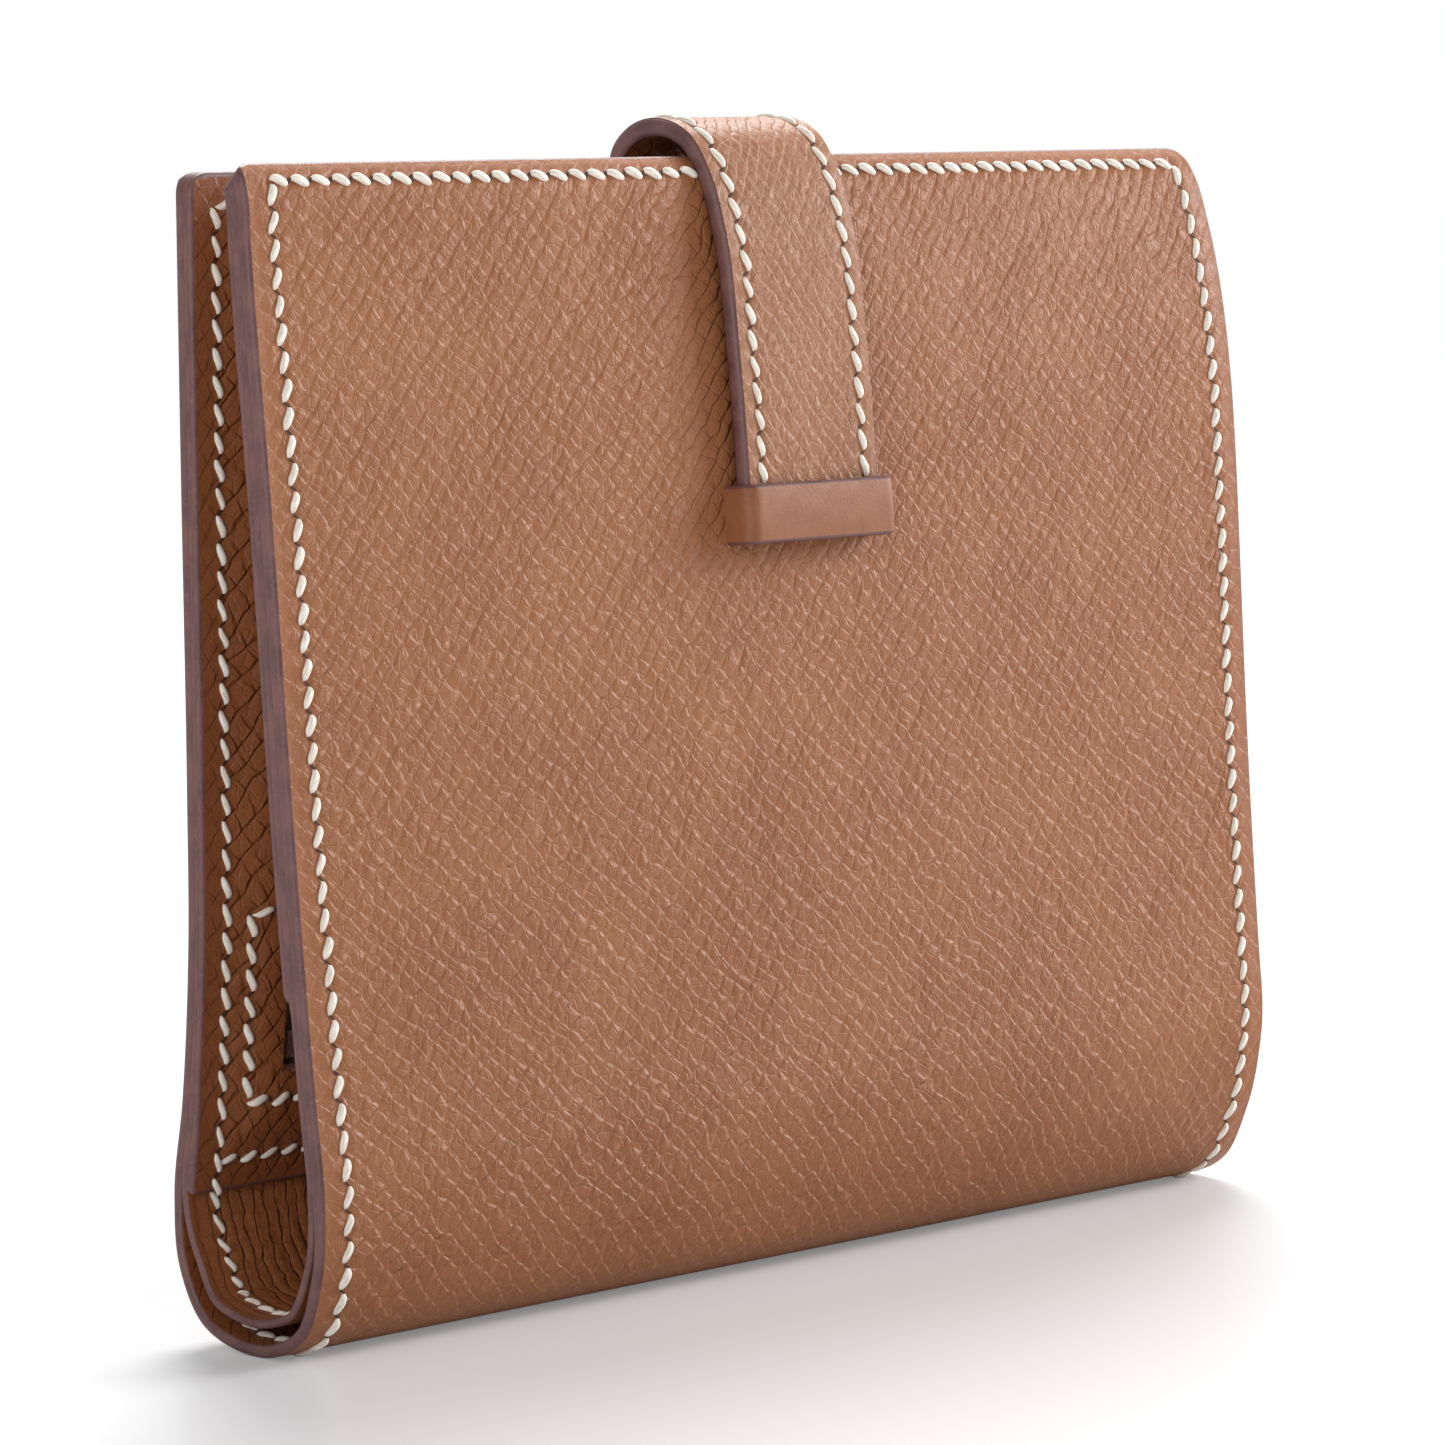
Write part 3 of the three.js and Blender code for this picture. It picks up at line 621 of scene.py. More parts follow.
def leather_material(name, light, dark, crest, depth, rows, crossing, angle=41, roughness=0.5):
    """Embossed grained leather: rows of pillows that rise slowly and drop off sharply, crossed by other rows,
    with finer wrinkles and pores.

    The rows slant by angle from upright. rows is their spacing, and crossing gives the spacing of the rows
    across them and their depth near the fold and far from it. The grain is weaker along the cut edges, where
    the press flattened it. The crests' sharp drops, which face the lamps, take the crest colour as a painted
    highlight, in patches.
    """
    shader = Shader(name, IOR=1.45)
    where = shader.grain()
    way = shader.add("SeparateXYZ", {0: where}, out=1)
    from_fold = shader.math("ABSOLUTE", shader.math("SUBTRACT", way, FOLD_BOTTOM))
    rim = shader.add("Attribute", out=2, attribute_name="rim")
    patch = shader.noise(where, 60.0, 3.0, 0.55)

    def pillows(turn, spacing, stray):
        """The height of one set of rows and how near each place is to a crest."""
        turned = shader.add("Mapping", {"Vector": where, "Rotation": (0, 0, math.radians(turn))})
        drawn = shader.add("VectorMath", {0: turned, 1: (1.0, 0.5, 1.0)}, operation="MULTIPLY")
        across = shader.add("SeparateXYZ", {0: turned}, out=0)
        for scale, share in ((0.12 / spacing, 1.5), (0.5 / spacing, 1.0), (1.3 / spacing, 0.7)):
            sway = shader.math("SUBTRACT", shader.noise(drawn, scale, 1.0, 0.5), 0.5)
            across = shader.math("ADD", across, shader.math("MULTIPLY", sway, share * stray * spacing))
        phase = shader.math("FRACT", shader.math("DIVIDE", across, spacing))
        left = shader.math("SUBTRACT", 1.0, phase)
        rise = shader.math("SUBTRACT", 1.0, shader.math("POWER", left, 2.2))
        height = shader.math("MULTIPLY", rise, shader.spread(left, 0.0, 0.16))
        near = shader.math("MULTIPLY", shader.spread(left, 0.26, 0.1), shader.spread(left, 0.0, 0.06))
        return height, near

    row, row_crest = pillows(angle, rows, 1.0)
    cross, cross_crest = pillows(-angle - 6 if angle else 90, crossing[0], 1.2)
    wrinkle = shader.add(
        "TexVoronoi",
        {"Vector": where, "Scale": 1.3 / rows, "Randomness": 1.0},
        feature="DISTANCE_TO_EDGE",
        voronoi_dimensions="2D",
    )
    wrinkle = shader.spread(wrinkle, 0.0, 0.12)
    pores = shader.noise(where, 5200.0, 3.0, 0.6)
    cross_depth = shader.spread(from_fold, 32 * MM, 66 * MM, crossing[1], crossing[2])
    calm = shader.spread(rim, 0.6, 3.6, 0.35, 1.0)
    strength = shader.math("MULTIPLY", calm, shader.spread(patch, 0.3, 0.7, 1.08, 0.86))

    low_cross = shader.math("MULTIPLY", shader.math("SUBTRACT", 1.0, cross), cross_depth)
    pillow = shader.math("MULTIPLY", row, shader.math("SUBTRACT", 1.0, low_cross))
    height = shader.math("ADD", pillow, shader.math("MULTIPLY", wrinkle, 0.12))
    height = shader.math("MULTIPLY", height, strength)
    height = shader.math("ADD", height, shader.math("MULTIPLY", pores, 0.14))
    shader.bump(height, 1.0, depth)

    colour = shader.mix(shader.spread(patch, 0.3, 0.72), dark, light)
    # Painted highlight: the crest colour along the crests' sharp drops, which face the lamps, in noise patches.
    cross_highlight = shader.math("MULTIPLY", cross_crest, shader.math("MULTIPLY", cross_depth, 0.8))
    crest_highlight = shader.math("MAXIMUM", row_crest, cross_highlight)
    highlight_patches = shader.spread(shader.noise(where, 620.0, 2.0, 0.5), 0.34, 0.62, 0.06, 0.4)
    crest_highlight = shader.math("MULTIPLY", shader.math("MULTIPLY", crest_highlight, strength), highlight_patches, clamp=True)
    colour = shader.mix(crest_highlight, colour, crest)
    speck = shader.noise(where, 2100.0, 2.0, 0.6)
    colour = shader.mix(shader.spread(speck, 0.45, 0.75, 0.0, 0.25), colour, crest)
    colour = shader.mix(shader.spread(rim, 0.8, 3.4, 0.35, 0.0), colour, dark)
    shader.set("Base Color", colour)
    shader.set("Roughness", shader.spread(pores, 0.3, 0.7, roughness - 0.06, roughness + 0.08))
    return shader.material


def slit_shade_material():
    """Painted shade for the cut that the awl leaves between two stitches: a flat dark mark in place of the shade
    inside the hole.
    """
    shader = Shader("awl_slit_painted_shade", Roughness=0.8)
    shade = shader.noise(shader.grain(), 1500.0, 2.0, 0.5)
    shader.set("Base Color", shader.mix(shade, srgb("2e1a10"), srgb("4a2c1b")))
    return shader.material


def edge_material():
    """Layers of edge paint: satin, slightly mottled, with paler dots and tiny pits."""
    shader = Shader("edge_paint_satin", IOR=1.5)
    where = shader.grain()
    cloud = shader.noise(where, 320.0, 3.0, 0.6)
    dots = shader.noise(where, 2600.0, 2.0, 0.6)
    colour = shader.mix(shader.spread(cloud, 0.3, 0.7), srgb("61403f"), srgb("78524e"))
    colour = shader.mix(shader.spread(dots, 0.56, 0.74, 0.0, 0.35), colour, srgb("8f6f69"))
    shader.set("Base Color", colour)
    shader.set("Roughness", shader.spread(cloud, 0.3, 0.7, 0.38, 0.56))
    shader.bump(shader.math("ADD", dots, cloud), 0.5, 0.05 * MM)
    return shader.material


def smooth_leather_material():
    """The keeper's plain smooth calf: fine pores and a faint mottle."""
    shader = Shader("keeper_smooth_calf", IOR=1.45)
    where = shader.grain()
    pores = shader.noise(where, 3600.0, 3.0, 0.65)
    mottle = shader.noise(where, 420.0, 3.0, 0.55)
    colour = shader.mix(shader.spread(mottle, 0.3, 0.7), srgb("8a5233"), srgb("955e3d"))
    shader.set("Base Color", colour)
    shader.set("Roughness", shader.spread(pores, 0.3, 0.7, 0.42, 0.56))
    shader.bump(shader.math("ADD", pores, shader.math("MULTIPLY", mottle, 0.8)), 0.5, 0.06 * MM)
    return shader.material


def thread_material():
    """Waxed linen thread: fibres along each stitch, with a faint twist."""
    shader = Shader("linen_thread", IOR=1.45)
    where = shader.grain()
    skew = shader.add("Mapping", {"Vector": where, "Rotation": (0, 0, 0.3)})
    long = shader.add("VectorMath", {0: skew, 1: (0.16, 1.0, 1.0)}, operation="MULTIPLY")
    fibre = shader.noise(long, 5200.0, 3.0, 0.65)
    soil = shader.noise(where, 420.0, 2.0, 0.5)
    colour = shader.mix(shader.spread(fibre, 0.32, 0.6), srgb("d9ccb9"), srgb("fbf6ec"))
    colour = shader.mix(shader.spread(soil, 0.5, 0.8, 0.0, 0.3), colour, srgb("d8c4ab"))
    shader.set("Base Color", colour)
    shader.set("Roughness", 0.62)
    shader.set("Sheen Weight", 0.25)
    shader.bump(fibre, 0.6, 0.08 * MM)
    return shader.material


def cloth_material(name, light, dark, weave):
    """A plain weave: two rows of ribs at right angles that pass over and under each other, darker where the weave lies
    low, as painted shade.
    """
    shader = Shader(name, Roughness=0.85)
    where = shader.grain()
    scaled = shader.add("VectorMath", {0: where, "Scale": weave}, operation="SCALE")
    x = shader.add("SeparateXYZ", {0: scaled}, out=0)
    y = shader.add("SeparateXYZ", {0: scaled}, out=1)
    wave_x = shader.math("SINE", x)
    wave_y = shader.math("SINE", y)
    weft = shader.math("MULTIPLY", wave_x, wave_y)
    fuzz = shader.noise(where, 4200.0, 3.0, 0.6)
    height = shader.math("ADD", weft, fuzz)
    # Painted shade: the colour darkens where the weave lies low.
    shader.set("Base Color", shader.mix(shader.spread(height, -0.6, 1.4), dark, light))
    shader.set("Sheen Weight", 0.3)
    shader.bump(height, 0.7, 0.08 * MM)
    return shader.material


def metal_material():
    """Light brass of the zip, with fine scratches."""
    shader = Shader("zip_brass", Metallic=1.0, IOR=1.5)
    where = shader.add("TexCoord", out=3)
    long = shader.add("VectorMath", {0: where, 1: (0.2, 1.0, 1.0)}, operation="MULTIPLY")
    scratch = shader.noise(long, 3000.0, 3.0, 0.7)
    stain = shader.noise(where, 260.0, 3.0, 0.6)
    colour = shader.mix(shader.spread(stain, 0.35, 0.7), srgb("c9b587"), srgb("e3d3a4"))
    shader.set("Base Color", colour)
    shader.set("Roughness", shader.spread(scratch, 0.3, 0.7, 0.2, 0.38))
    shader.bump(scratch, 0.2, 0.02 * MM)
    return shader.material


outer_leather = leather_material(
    "grain_leather_tan",
    srgb("9b6139"),
    srgb("945a34"),
    srgb("a9714c"),
    0.23 * MM,
    1.35 * MM,
    (1.55 * MM, 0.55, 0.36),
)
strap_leather = leather_material(
    "grain_leather_strap",
    srgb("9d6845"),
    srgb("96613e"),
    srgb("a87856"),
    0.17 * MM,
    1.05 * MM,
    (1.2 * MM, 0.7, 0.7),
    angle=-41,
)
# Lining leather: the outer leather's colours made deeper, as painted shade for the inner faces and the fold's inside,
# which lie in shade.
shaded_lining_leather = leather_material(
    "lining_leather_tan_shaded",
    srgb("93562f"),
    srgb("874c28"),
    srgb("9e633b"),
    0.25 * MM,
    1.7 * MM,
    (1.8 * MM, 0.6, 0.6),
    angle=-41,
)
shaded_fold_leather = leather_material(
    "lining_leather_fold_shaded",
    srgb("995b32"),
    srgb("8c4f29"),
    srgb("a3683f"),
    0.24 * MM,
    1.2 * MM,
    (1.8 * MM, 0.55, 0.55),
    angle=0,
)
edge_paint = edge_material()
smooth_leather = smooth_leather_material()
linen = thread_material()
awl_slit_shade = slit_shade_material()
tape_cloth = cloth_material("zip_tape_woven", srgb("6b4226"), srgb("3c2413"), 9000.0)
lining_cloth = cloth_material("pocket_cloth_woven", srgb("8a6446"), srgb("5d3f29"), 6000.0)
brass = metal_material()


# ---- bodies along the leather ----

# The leather crosses four hinges. It is cut half way between them, and each stretch bends at one hinge.
HINGES = [
    ("back_leaf", "fold_back", "fold_back_upper"),
    ("fold_back", "fold", "fold_back_lower"),
    ("fold", "fold_front", "fold_front_lower"),
    ("fold_front", "front_leaf", "fold_front_upper"),
]
STRETCH_NAMES = ["back", "fold_back", "fold_front", "front"]


def stretches(path, hinges, start, end):
    """The stretches of a path as (body before, body after, s from, s to, s of the hinge)."""
    ways = [path.nearest(*hinge_at(joint)) for _, _, joint in hinges]
    cuts = [start, *[(a + b) / 2 for a, b in zip(ways, ways[1:])], end]
    return [(h[0], h[1], low, high, way) for h, low, high, way in zip(hinges, cuts, cuts[1:], ways)]


def bend(piece, path, stretch, depth=0.0):
    """Makes a piece that lies at a depth bend from one body to the next, around its stretch's hinge."""
    before, after, low, high, way = stretch
    reach = min(way - low, high - way)
    ends = []
    for s in (way - reach, way + reach):
        y, z, normal_y, normal_z = path.at(s)
        ends.append((0.0, float(y + depth * normal_y), float(z + depth * normal_z)))
    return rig.blend(piece, before, after, start=ends[0], end=ends[1])


def grid_lines(start, end, step, extra=()):
    """Grid lines with some extra ones, sorted, none closer than a fifth of a step."""
    values = np.sort(np.concatenate([lines(start, end, step), np.array(extra, float)]))
    keep = [values[0]]
    for value in values[1:]:
        if value - keep[-1] > 0.2 * step:
            keep.append(value)
    keep[-1] = values[-1]
    return np.array(keep)


# ---- outer leather ----

side = HALF_WIDTH - SEAM_INSET
shell_side = side - 0.3 * MM
shell_top = LENGTH - 2.0 * MM
shell_seams = [
    Seam((-shell_side, shell_top), (-shell_side, SEAM_INSET)),
    Seam((shell_side, shell_top), (shell_side, SEAM_INSET)),
    Seam((-shell_side, SEAM_INSET), (shell_side, SEAM_INSET)),
    Seam((-shell_side, shell_top), (shell_side, shell_top)),
]
fold_stretches = stretches(wallet, HINGES, 0.0, LENGTH)
REPLACED_SHELLS = [
    ["back_shell"],
    ["fold_shell_back", "fold_shell_middle"],
    ["fold_shell_front"],
    ["front_shell"],
]


def cuts_of(number):
    """The ends at which a stretch goes on in its neighbour."""
    return [end for end, found in (("start", number > 0), ("end", number < 3)) if found]


def corners_of(number):
    """The radii of a stretch's corners: only the two leaves end in free corners."""
    return (LEAF_CORNER if number == 0 else 0, LEAF_CORNER if number == 3 else 0)


def between(back_starts, back_ends, front_starts, front_ends, s):
    """1 round the fold and 0 on the leaves: it rises at the back and falls in front between these heights."""
    rise = ease(back_way(back_starts), back_way(back_ends), s)
    return rise * (1 - ease(front_way(front_starts), front_way(front_ends), s))


def in_fold(s):
    """1 inside the fold, where shell and liner part, and 0 on the leaves, where they are glued."""
    return between(15 * MM, 11 * MM, 9 * MM, 14 * MM, s)


def shell_rim(s):
    """How far the outer leather's rim is rounded off towards its outer and its inner face."""
    return 0.42 * MM + 0 * s, GLUED_EDGE + 0.24 * MM * in_fold(s)


def outer_shell():
    """The outer leather: back leaf, fold and front leaf in one skin, cut between the hinges."""
    for number, stretch in enumerate(fold_stretches):
        low, high = stretch[2:4]
        xs = grid_lines(-HALF_WIDTH, HALF_WIDTH, FINE_STEP)
        ss = grid_lines(low, high, FINE_STEP if number in (0, 3) else FOLD_STEP)
        piece = sheet(
            "outer_leather_" + STRETCH_NAMES[number],
            leather,
            xs,
            ss,
            lambda x, s: pucker(shell_seams, x, s),
            lambda x, s: SHELL + 0 * x,
            [outer_leather, shaded_lining_leather, edge_paint],
            cut=cuts_of(number),
            corners=corners_of(number),
            edge=shell_rim,
        )
        bend(piece, wallet, stretch)
        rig.slot(piece, "grain_leather")
        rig.replaces(piece, *REPLACED_SHELLS[number])
        rows = thread(
            "outer_seam_" + STRETCH_NAMES[number],
            leather,
            shell_seams,
            0.0,
            -1,
            linen,
            keep=(low if number else -1, high if number < 3 else 1),
        )
        bend(rows, wallet, stretch)
        if number == 0:
            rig.replaces(rows, "back_shell_seam")
        if number == 3:
            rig.replaces(rows, "front_shell_seam")
        gap_rows = thread(
            "fold_gap_stitches_" + STRETCH_NAMES[number],
            leather,
            shell_seams[:2],
            SHELL,
            1,
            linen,
            keep=(max(low, back_way(12 * MM)), min(high, front_way(9 * MM))),
        )
        bend(gap_rows, wallet, stretch)


# ---- liner, with the loose U inside the fold ----

PANEL_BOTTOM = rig.box("coin_pocket_panel")[0].z
panel_end = back_way(PANEL_BOTTOM)
card_start = front_way(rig.box("card_panel")[0].z)
liner_back = back_way(PANEL_BOTTOM + 0.4 * MM)
liner_front = front_way(14 * MM)
liner_seams = [
    Seam((-side + 0.4 * MM, liner_back), (-side + 0.4 * MM, liner_front)),
    Seam((side - 0.4 * MM, liner_back), (side - 0.4 * MM, liner_front)),
]
REPLACED_LINERS = [
    ["back_liner"],
    ["fold_liner_back", "fold_liner_middle"],
    ["fold_liner_front"],
    ["front_liner"],
]
LOOSE_DEPTH = SHELL + FOLD_GAP + LINER_THICKNESS / 2


def liner_depth(x, s):
    """Depth of the liner's outer side: tight to the shell on the leaves, loose inside the fold."""
    opened = ease(back_way(13.2 * MM), back_way(5 * MM), s)
    closed = 1 - ease(FOLD_BOTTOM + 1 * MM, front_way(11 * MM), s)
    return SHELL + 0.02 * MM + FOLD_GAP * opened * closed


def skived(x, s):
    """1 at the sides and top of the back leaf, where its layers are pared thin, and 0 away from them."""
    rim = np.minimum(HALF_WIDTH - np.abs(x), s)
    return (1 - ease(1.5 * MM, 7 * MM, rim)) * (1 - ease(panel_end - 12 * MM, panel_end - 1 * MM, s))


def liner_inside(x, s):
    """Depth of the liner's inner side, with upright wrinkles where the fold squeezes it."""
    squeezed = between(14 * MM, 8 * MM, 5 * MM, 12 * MM, s)
    squeezed = squeezed * ease(3.4 * MM, 5.5 * MM, HALF_WIDTH - np.abs(x))
    wave = np.sin(x / (0.21 * MM) + 1.6 * np.sin(s / (2.9 * MM) + x / (5.1 * MM)))
    wave = wave + 0.8 * np.sin(x / (0.47 * MM) + 1.3 * np.sin(s / (4.3 * MM)))
    thickness = LINER_THICKNESS - 0.3 * MM * skived(x, s)
    return liner_depth(x, s) + thickness - 0.035 * MM * squeezed * wave - pucker(liner_seams, x, s)


def liner_rim(s):
    """How far the liner's rim is rounded off. Where a panel covers it, its inner side is glued."""
    covered = (s < panel_end) | (s > card_start)
    return GLUED_EDGE + 0.2 * MM * in_fold(s), np.where(covered, GLUED_EDGE, 0.26 * MM)


def liner():
    """The inner leather of the leaves and the inner U of the fold, with its own row of stitches."""
    for number, stretch in enumerate(fold_stretches):
        low, high = stretch[2:4]
        extra = lines(back_way(16 * MM), back_way(0), 0.4 * MM) if number == 0 else ()
        piece = sheet(
            "liner_" + STRETCH_NAMES[number],
            leather,
            grid_lines(-HALF_WIDTH, HALF_WIDTH, 0.28 * MM),
            grid_lines(low, high, COARSE_STEP if number in (0, 3) else FOLD_STEP, extra),
            liner_depth,
            liner_inside,
            [shaded_lining_leather, shaded_fold_leather, edge_paint],
            cut=cuts_of(number),
            corners=corners_of(number),
            edge=liner_rim,
            seed=1,
        )
        bend(piece, wallet, stretch, depth=LOOSE_DEPTH)
        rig.slot(piece, "lining_leather")
        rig.replaces(piece, *REPLACED_LINERS[number])
        inside = thread(
            "liner_seam_" + STRETCH_NAMES[number],
            leather,
            liner_seams,
            lambda x, s: liner_depth(x, s) + LINER_THICKNESS,
            1,
            linen,
            keep=(low, high),
            size=INNER_THREAD,
        )
        bend(inside, wallet, stretch, depth=LOOSE_DEPTH)


# ---- coin pocket on the back leaf ----

INSIDE = SHELL + LINER_THICKNESS + 0.04 * MM
WINDOW_SEAM_MARGIN = 2.6 * MM
zip_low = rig.box("zip_tape_lower")[0]
zip_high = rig.box("zip_tape_upper")[1]
window_half = zip_high.x + 0.3 * MM
window_start = back_way(zip_high.z + 0.3 * MM)
window_end = back_way(zip_low.z - 0.3 * MM)


def pouch(x, s, start, end, rise):
    """How far a sewn-on panel stands off what it is sewn to: nothing at its rim, its full rise inside."""
    rim = np.minimum(HALF_WIDTH - np.abs(x), np.minimum(s - start, end - s))
    return rise * ease(2.6 * MM, 8 * MM, rim)


def ring_of_seams(half, start, end, hand):
    """Four seams round a rectangle."""
    return [
        Seam((-half, start), (-half, end), hand),
        Seam((half, start), (half, end), hand),
        Seam((-half, start), (half, start), hand),
        Seam((-half, end), (half, end), hand),
    ]


coin_seams = [
    Seam((-side, SEAM_INSET), (-side, panel_end + 0.6 * MM)),
    Seam((side, SEAM_INSET), (side, panel_end + 0.6 * MM)),
    Seam((-side, SEAM_INSET), (side, SEAM_INSET)),
    Seam((-side, panel_end - 3 * MM), (side, panel_end - 3 * MM)),
]
window_seams = ring_of_seams(
    window_half + 1.4 * WINDOW_SEAM_MARGIN,
    window_start - WINDOW_SEAM_MARGIN,
    window_end + WINDOW_SEAM_MARGIN,
    1,
)


def coin_outside(x, s):
    """Depth of the coin panel's side towards the liner."""
    return INSIDE - 0.3 * MM * skived(x, s) + pouch(x, s, 0, panel_end, COIN_POUCH)


def coin_inside(x, s):
    """Depth of the coin panel's side that is seen when the wallet is open."""
    return coin_outside(x, s) + PANEL_THICKNESS - 0.2 * MM * skived(x, s)


def coin_pocket():
    """The panel with its zip window, its stitches, and the cloth behind it."""
    xs = grid_lines(-HALF_WIDTH, HALF_WIDTH, 0.55 * MM, (-window_half, window_half))
    ss = grid_lines(0, panel_end, 0.55 * MM, (window_start, window_end))
    window = (-window_half, window_half, window_start, window_end)
    panel = sheet(
        "coin_panel",
        leather,
        xs,
        ss,
        coin_outside,
        lambda x, s: coin_inside(x, s) - pucker(coin_seams + window_seams, x, s),
        [lining_cloth, shaded_lining_leather, edge_paint],
        corners=(LEAF_CORNER, 0.6 * MM),
        hole=window,
        edge=rounding(GLUED_EDGE, 0.4 * MM),
        seed=2,
    )
    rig.ride(panel, "back_leaf")
    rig.slot(panel, "lining_leather")
    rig.replaces(panel, "coin_pocket_panel")
    for name, seams, node in (
        ("coin_panel_stitches", coin_seams, "coin_panel_seam"),
        ("zip_window_stitches", window_seams, "zip_window_seam"),
    ):
        rows = thread(name, leather, seams, coin_inside, 1, linen, size=INNER_THREAD)
        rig.ride(rows, "back_leaf")
        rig.replaces(rows, node)

    low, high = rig.box("coin_pocket_lining")
    cloth = sheet(
        "coin_pocket_cloth",
        leather,
        lines(low.x, high.x, 1.5 * MM),
        lines(back_way(high.z - 1.5 * MM), back_way(low.z + 1.5 * MM), 1.5 * MM),
        lambda x, s: INSIDE + (0.2 + 0.1 * np.sin(x / (4 * MM) + s / (7 * MM))) * MM,
        lambda x, s: INSIDE + (0.45 + 0.1 * np.sin(x / (4 * MM) + s / (7 * MM))) * MM,
        [lining_cloth, lining_cloth, lining_cloth],
        edge=rounding(0.1 * MM, 0.1 * MM),
        seed=3,
    )
    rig.ride(cloth, "back_leaf")
    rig.slot(cloth, "pocket_cloth")
    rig.replaces(cloth, "coin_pocket_lining")


# ---- zip ----

TOOTH_PITCH = 1.3 * MM
TOOTH_HALF = 0.27 * MM
TOOTH_REACH = 0.45 * MM


def zip_tape(name, node, teeth_side):
    """A woven tape with a rolled cord along the edge that carries the teeth."""
    low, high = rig.box(node)
    cord_at = low.z if teeth_side < 0 else high.z

    def place(x, s, depth):
        return np.stack([x, depth, s], axis=-1)

    def swell(s):
        return 0.28 * MM * np.exp(-(((s - cord_at) / (0.5 * MM)) ** 2))

    tape = sheet(
        name,
        place,
        lines(low.x, high.x, 1 * MM),
        lines(low.z, high.z, 0.15 * MM),
        lambda x, s: low.y - swell(s),
        lambda x, s: high.y + 0 * x,
        [tape_cloth, tape_cloth, tape_cloth],
        edge=rounding(0.12 * MM, 0.12 * MM),
        seed=4,
    )
    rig.ride(tape, "back_leaf")
    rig.slot(tape, "zip_tape")
    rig.replaces(tape, node)


def zip_teeth(name, node, side_of_zip, shift):
    """Separate teeth, each clamped on the tape's edge, with rounded heads that reach past the middle line."""
    low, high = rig.box(node)
    root = high.z if side_of_zip > 0 else low.z
    head = (zip_low.z + zip_high.z) / 2 - side_of_zip * TOOTH_REACH
    middle_y = (low.y + high.y) / 2
    half_y = (high.y - low.y) / 2
    along = np.array([0.0, 0.08, 0.5, 0.66, 0.78, 0.95, 1.0])
    wide = np.array([0.55, 1.0, 1.0, 0.62, 1.0, 0.85, 0.4]) * TOOTH_HALF
    deep = np.array([0.6, 1.0, 1.0, 0.9, 0.9, 0.7, 0.3]) * half_y
    ring = 10
    turn = (np.arange(ring) + 0.5) * 2 * math.pi / ring
    cosine, sine = np.cos(turn), np.sin(turn)
    round_x = np.sign(cosine) * np.abs(cosine) ** 0.6
    round_y = np.sign(sine) * np.abs(sine) ** 0.6
    z = root + (head - root) * along
    points, faces = [], []
    for number in range(int((high.x - low.x - TOOTH_PITCH) / TOOTH_PITCH)):
        x = low.x + (number + 0.5 + shift) * TOOTH_PITCH
        tooth = np.stack(
            [
                x + wide[:, None] * round_x[None, :],
                middle_y + deep[:, None] * round_y[None, :],
                np.repeat(z[:, None], ring, axis=1),
            ],
            axis=-1,
        )
        faces += tube_faces(len(points) * len(along) * ring, len(along), ring)
        points.append(tooth.reshape(-1, 3))
    points = np.concatenate(points)
    if signed_volume(points, np.array([f for f in faces if len(f) == 4])) < 0:
        faces = [f[::-1] for f in faces]
    teeth = make_object(name, points, faces, [brass], np.zeros(len(faces), int), {}, 50)
    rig.ride(teeth, "back_leaf")
    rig.slot(teeth, "zip_metal")
    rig.replaces(teeth, node)


def zip_parts():
    """Tapes and teeth, and the CAD's own stops, slider and pull with rounded brass edges."""
    zip_tape("zip_tape_upper_woven", "zip_tape_upper", -1)
    zip_tape("zip_tape_lower_woven", "zip_tape_lower", 1)
    zip_teeth("zip_teeth_upper_row", "zip_teeth_upper", 1, 0.0)
    zip_teeth("zip_teeth_lower_row", "zip_teeth_lower", -1, 0.5)
    for node, width in (
        ("zip_stop_left", 0.3),
        ("zip_stop_right", 0.3),
        ("zip_slider_plate", 0.3),
        ("zip_slider_bracket", 0.14),
        ("zip_pull_pin", 0.1),
        ("zip_pull_tab", 0.16),
    ):
        part = frame["nodes"][node]
        part.data.materials.clear()
        part.data.materials.append(brass)
        bevel = part.modifiers.new("rounding", "BEVEL")
        bevel.width = width * MM
        bevel.segments = 3
        bevel.limit_method = "ANGLE"
        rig.slot(part, "zip_metal")


# ---- card side of the front leaf ----


